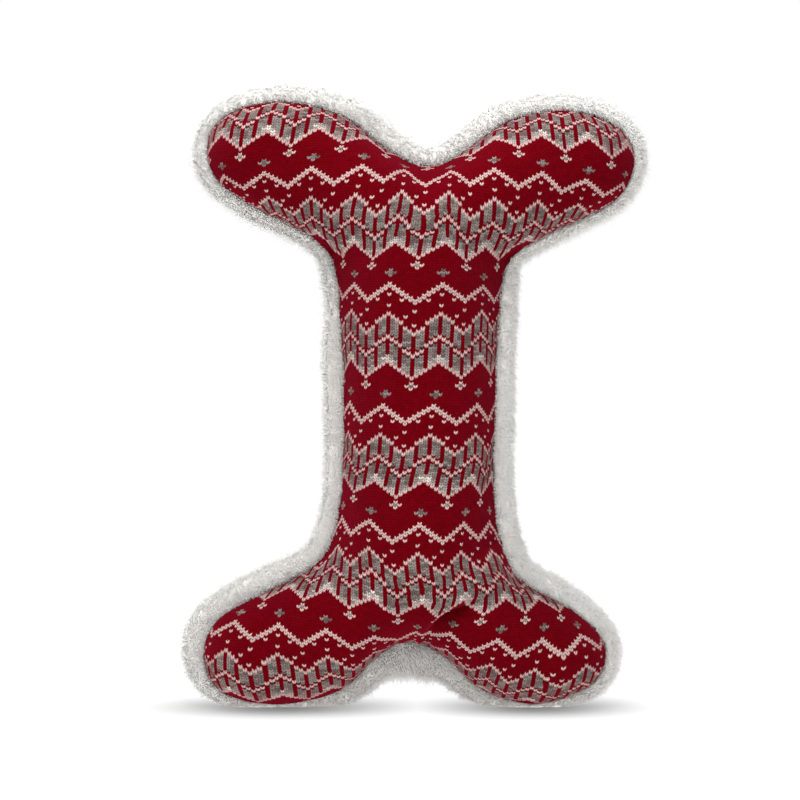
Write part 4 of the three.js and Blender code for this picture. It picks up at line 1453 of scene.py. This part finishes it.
def bulb_mesh():
    points, rows, faces = [], [], []
    for radius, forward in bulb_profile():
        on_ring = range(BULB_SEGMENTS) if radius else [0] * BULB_SEGMENTS
        rows.append([len(points) + k for k in on_ring])
        for k in sorted(set(on_ring)):
            angle = 2 * math.pi * k / BULB_SEGMENTS
            across, up = radius * math.cos(angle), radius * math.sin(angle)
            points.append((BULB_CENTRE[0] + across, BULB_BACK_Y - forward, BULB_CENTRE[1] + up))
    for a, b in zip(rows, rows[1:]):
        faces += band(a, b)
    return mesh_from("squeaker_bulb_soft", points, faces)


# operators


class Made:
    """What one operator leaves for the next."""

    body = None
    front = None
    back = None


def paint(mesh, material):
    mesh.materials.clear()
    mesh.materials.append(material)


class ToyOperator(bpy.types.Operator):
    """Base of the operators that make the toy's pieces"""

    bl_options = {"REGISTER", "UNDO"}

    def execute(self, context):
        self.make(context.scene)
        return {"FINISHED"}


class TOY_OT_settle_body(ToyOperator):
    """Work out the stuffed body's surface and let its cloth settle"""

    bl_idname = "toy.settle_body"
    bl_label = "Settle the Body"

    def make(self, scene):
        Made.body = Body()
        Made.front, Made.back = settled_body(Made.body)


class TOY_OT_knit_panel(ToyOperator):
    """Make the knitted front with its turned-in allowance"""

    bl_idname = "toy.knit_panel"
    bl_label = "Make the Knitted Front"

    def make(self, scene):
        mesh = build_knit(Made.body, *Made.front, scene.toy_knit)
        paint(mesh, knit_material(scene.toy_knit))
        panel = new_object("knit_front", mesh)
        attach(panel, BODY)
        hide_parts("front_knit_panel")


class TOY_OT_plush_back(ToyOperator):
    """Make the plush back: its backing, allowance, lip and the dense undercoat of its pile"""

    bl_idname = "toy.plush_back"
    bl_label = "Make the Plush Back"

    def make(self, scene):
        pile = scene.toy_pile
        points, faces, first_outer = undercoat_surface(Made.body, *Made.back, pile, Made.front[0])
        mesh = lumpy_undercoat(points, faces)
        paint(mesh, undercoat_material(pile))
        back = new_object("plush_back", mesh)
        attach(back, BODY)
        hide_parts("back_plush_panel")
        self.make_pile(pile_scalps(Made.body, points, faces, first_outer, pile), pile)

    def make_pile(self, scalps, pile):
        tree = pile_tree()
        settings = {
            "Density": pile.edge_density / MM**2,
            "Length": pile.hair_length,
            "Width": pile.hair_width,
            "Clump": pile.clump,
            "Material": pile_material(pile),
        }
        for k, scalp in enumerate(scalps):
            name = f"pile_{k + 1}"
            mesh = tree.applied(scalp, name, Seed=pile.seed + k, **settings)
            set_points(mesh, pressed_on_floor(mesh_points(mesh)))
            locks = new_object(name, mesh)
            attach(locks, BODY)


class TOY_OT_threads(ToyOperator):
    """Sew the two threads of the seam and colour the closing thread"""

    bl_idname = "toy.threads"
    bl_label = "Sew the Threads"

    def make(self, scene):
        sewing = scene.toy_sewing
        material = Look("sewing_thread", 0.6).fibrous(sewing.colour, 2600.0, 0.3, 0.1 * MM, 0.8)
        tree = lockstitch_tree()
        for name, side in (("needle_stitches", -1), ("bobbin_stitches", 1)):
            line = Made.body.edge_ring(SEAM_Y + side * THREAD_LEVEL, THREAD_LINE)
            mesh = tree.applied(
                closed_line(line),
                name,
                Stitch_length=sewing.stitch_length,
                Thread_radius=sewing.thread_radius,
                Dip=-side * THREAD_DIP,
                Material=material,
            )
            stitches = new_object(name, mesh)
            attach(stitches, BODY)
            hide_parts("seam_needle_thread" if side < 0 else "seam_bobbin_thread")
        paint(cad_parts["closing_thread"].data, material)


class TOY_OT_filling(ToyOperator):
    """Make the fibre filling"""

    bl_idname = "toy.filling"
    bl_label = "Make the Filling"

    def make(self, scene):
        skins = cavity_skins()
        look = Look("fibre_filling", 0.9, sheen=0.4)
        material = look.fibrous(scene.toy_filling.fibre, 300.0, 0.25, 1.2 * MM, 0.8, stretch=(1, 1, 3))
        names = [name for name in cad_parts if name.startswith("fill_")]
        for seed, name in enumerate(sorted(names), start=1):
            mesh = fibre_mass(name, skins, seed)
            paint(mesh, material)
            mass = new_object(name.replace("fill_", "fibre_"), mesh)
            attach(mass, BODY)
            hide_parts(name)


class TOY_OT_squeaker(ToyOperator):
    """Make the squeaker's soft bulb and finish its plug and reed"""

    bl_idname = "toy.squeaker"
    bl_label = "Make the Squeaker"

    def make(self, scene):
        filling = scene.toy_filling
        bulb = new_object("bulb", bulb_mesh())
        paint(bulb.data, plastic("bulb_plastic", filling.bulb, 0.45, Subsurface_Weight=0.2))
        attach(bulb, BODY)
        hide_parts("squeaker_bulb")
        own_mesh(bulb)
        plug = plastic("plug_plastic", filling.plug, 0.38)
        for name in ("squeaker_plug_shell", "squeaker_reed_seat", "squeaker_reed_wedge"):
            paint(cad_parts[name].data, plug)
        paint(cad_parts["squeaker_reed"].data, plastic("reed_film", filling.reed, 0.22))


# Where the two soles stand, across, and the size of the painted shadow under each
PAINTED_SOLE_SHADOWS = ((-68 * MM, (59 * MM, 28 * MM, 1.0)), (58 * MM, (50 * MM, 28 * MM, 1.0)))
FLOOR_REACH = 30.0

# Each light's name, place, target, size and power
LIGHTS = (
    ("key_light", (-0.05, -0.48, 0.9), (0, 0, 0.24), 0.5, 9),
    ("top_light", (-0.3, 0.05, 1.35), (0, 0, 0.12), 1.1, 12),
    ("front_light", (-0.4, -1.6, 0.2), (0, 0, 0.1), 1.2, 1.5),
    ("low_light", (-0.05, -0.8, 0.05), (0, 0, 0.02), 0.24, 1.8),
)


def seen_plainly(nodes):
    """1 for what the camera or a glossy reflection sees, 0 for light on its way to something else."""
    camera = nodes.node("ShaderNodeLightPath", output="Is Camera Ray")
    return camera.either(nodes.node("ShaderNodeLightPath", output="Is Glossy Ray"))


def add_to_scene(scene, name, data, place, facing):
    """Puts a light or a camera at a place, turned to face along a direction."""
    made = bpy.data.objects.new(name, data)
    made.location = place
    made.rotation_euler = facing.to_track_quat("-Z", "Y").to_euler()
    scene.collection.objects.link(made)
    return made


class TOY_OT_stage(ToyOperator):
    """Make the floor, the lights and the camera"""

    bl_idname = "toy.stage"
    bl_label = "Make the Stage"

    def make(self, scene):
        self.make_floor(scene.toy_stage)
        self.make_lights(scene)
        self.make_camera(scene, scene.toy_stage)
        scene.view_settings.view_transform = "Standard"

    def make_floor(self, stage):
        corners = [(x * FLOOR_REACH, y * FLOOR_REACH, 0) for x, y in ((-1, -1), (1, -1), (1, 1), (-1, 1))]
        mesh = mesh_from("floor", corners, [[0, 1, 2, 3]])
        look = Look("floor", 0.9, Specular_IOR_Level=0.0, Emission_Color=(1, 1, 1, 1))
        seen = seen_plainly(look)
        # A white floor under these lights would be so much too bright that its shadow couldn't be seen.
        put(look.shader["Base Color"], look.mixed(seen, stage.bounce, stage.floor))
        # The floor's own glow makes it as white as the wall behind. For the camera it is weaker under each
        # sole, which is a painted shadow.
        place = look.node("ShaderNodeTexCoord", output="Object")
        far = []
        for middle, size in PAINTED_SOLE_SHADOWS:
            offset = look.vector("SUBTRACT", place, (middle, SEAM_Y, 0))
            far.append(look.vector("LENGTH", look.vector("DIVIDE", offset, size)))
        glow_with_painted_shadow = {0: far[0].math("MINIMUM", far[1]), 1: 0.0, 2: 1.5, 3: stage.glow, 4: 1.0}
        glow_with_painted_shadow = look.node("ShaderNodeMapRange", glow_with_painted_shadow, interpolation_type="SMOOTHSTEP")
        put(look.shader["Emission Strength"], (glow_with_painted_shadow - stage.lit) * seen + stage.lit)
        paint(mesh, look.material)
        new_object("floor", mesh)

    def make_lights(self, scene):
        for name, place, target, size, power in LIGHTS:
            light = bpy.data.lights.new(name, "AREA")
            light.shape = "DISK"
            light.size = size
            light.energy = power
            add_to_scene(scene, name, light, place, Vector(target) - Vector(place))
        scene.world = bpy.data.worlds.new("studio")
        scene.world.use_nodes = True
        nodes = Nodes(scene.world.node_tree)
        background = nodes.tree.nodes["Background"].inputs
        background["Color"].default_value = (1, 1, 1, 1)
        put(background["Strength"], seen_plainly(nodes) * 0.7 + 0.3)

    def make_camera(self, scene, stage):
        camera = bpy.data.cameras.new("camera")
        camera.sensor_width = 36
        camera.lens = camera.sensor_width * stage.camera_distance / stage.view_width
        target = Vector((stage.view_x, SEAM_Y, stage.view_z))
        back = Vector((0, -math.cos(stage.camera_rise), math.sin(stage.camera_rise)))
        scene.camera = add_to_scene(scene, "camera", camera, target + back * stage.camera_distance, -back)


class TOY_PT_panel(bpy.types.Panel):
    """The toy's operators and settings"""

    bl_idname = "TOY_PT_panel"
    bl_label = "Plush Toy"
    bl_space_type = "VIEW_3D"
    bl_region_type = "UI"
    bl_category = "Plush Toy"

    def draw(self, context):
        layout = self.layout
        for operator in OPERATORS:
            layout.operator(operator.bl_idname)
        for name in SETTINGS:
            group = getattr(context.scene, name)
            box = layout.box()
            box.label(text=type(group).__doc__)
            for prop in group.bl_rna.properties:
                if not prop.is_readonly and prop.identifier != "name":
                    box.prop(group, prop.identifier)


SETTINGS = {
    "toy_knit": ToyKnitSettings,
    "toy_pile": ToyPileSettings,
    "toy_sewing": ToySewingSettings,
    "toy_filling": ToyFillingSettings,
    "toy_stage": ToyStageSettings,
}
OPERATORS = (
    TOY_OT_settle_body,
    TOY_OT_knit_panel,
    TOY_OT_plush_back,
    TOY_OT_threads,
    TOY_OT_filling,
    TOY_OT_squeaker,
    TOY_OT_stage,
)
CLASSES = (*SETTINGS.values(), *OPERATORS, TOY_PT_panel)


def register():
    for cls in CLASSES:
        bpy.utils.register_class(cls)
    for name, cls in SETTINGS.items():
        setattr(bpy.types.Scene, name, bpy.props.PointerProperty(type=cls))


def unregister():
    for name in SETTINGS:
        delattr(bpy.types.Scene, name)
    for cls in reversed(CLASSES):
        bpy.utils.unregister_class(cls)


def main():
    register()
    for operator in OPERATORS:
        group, name = operator.bl_idname.split(".")
        getattr(getattr(bpy.ops, group), name)()


if __name__ == "__main__":
    main()
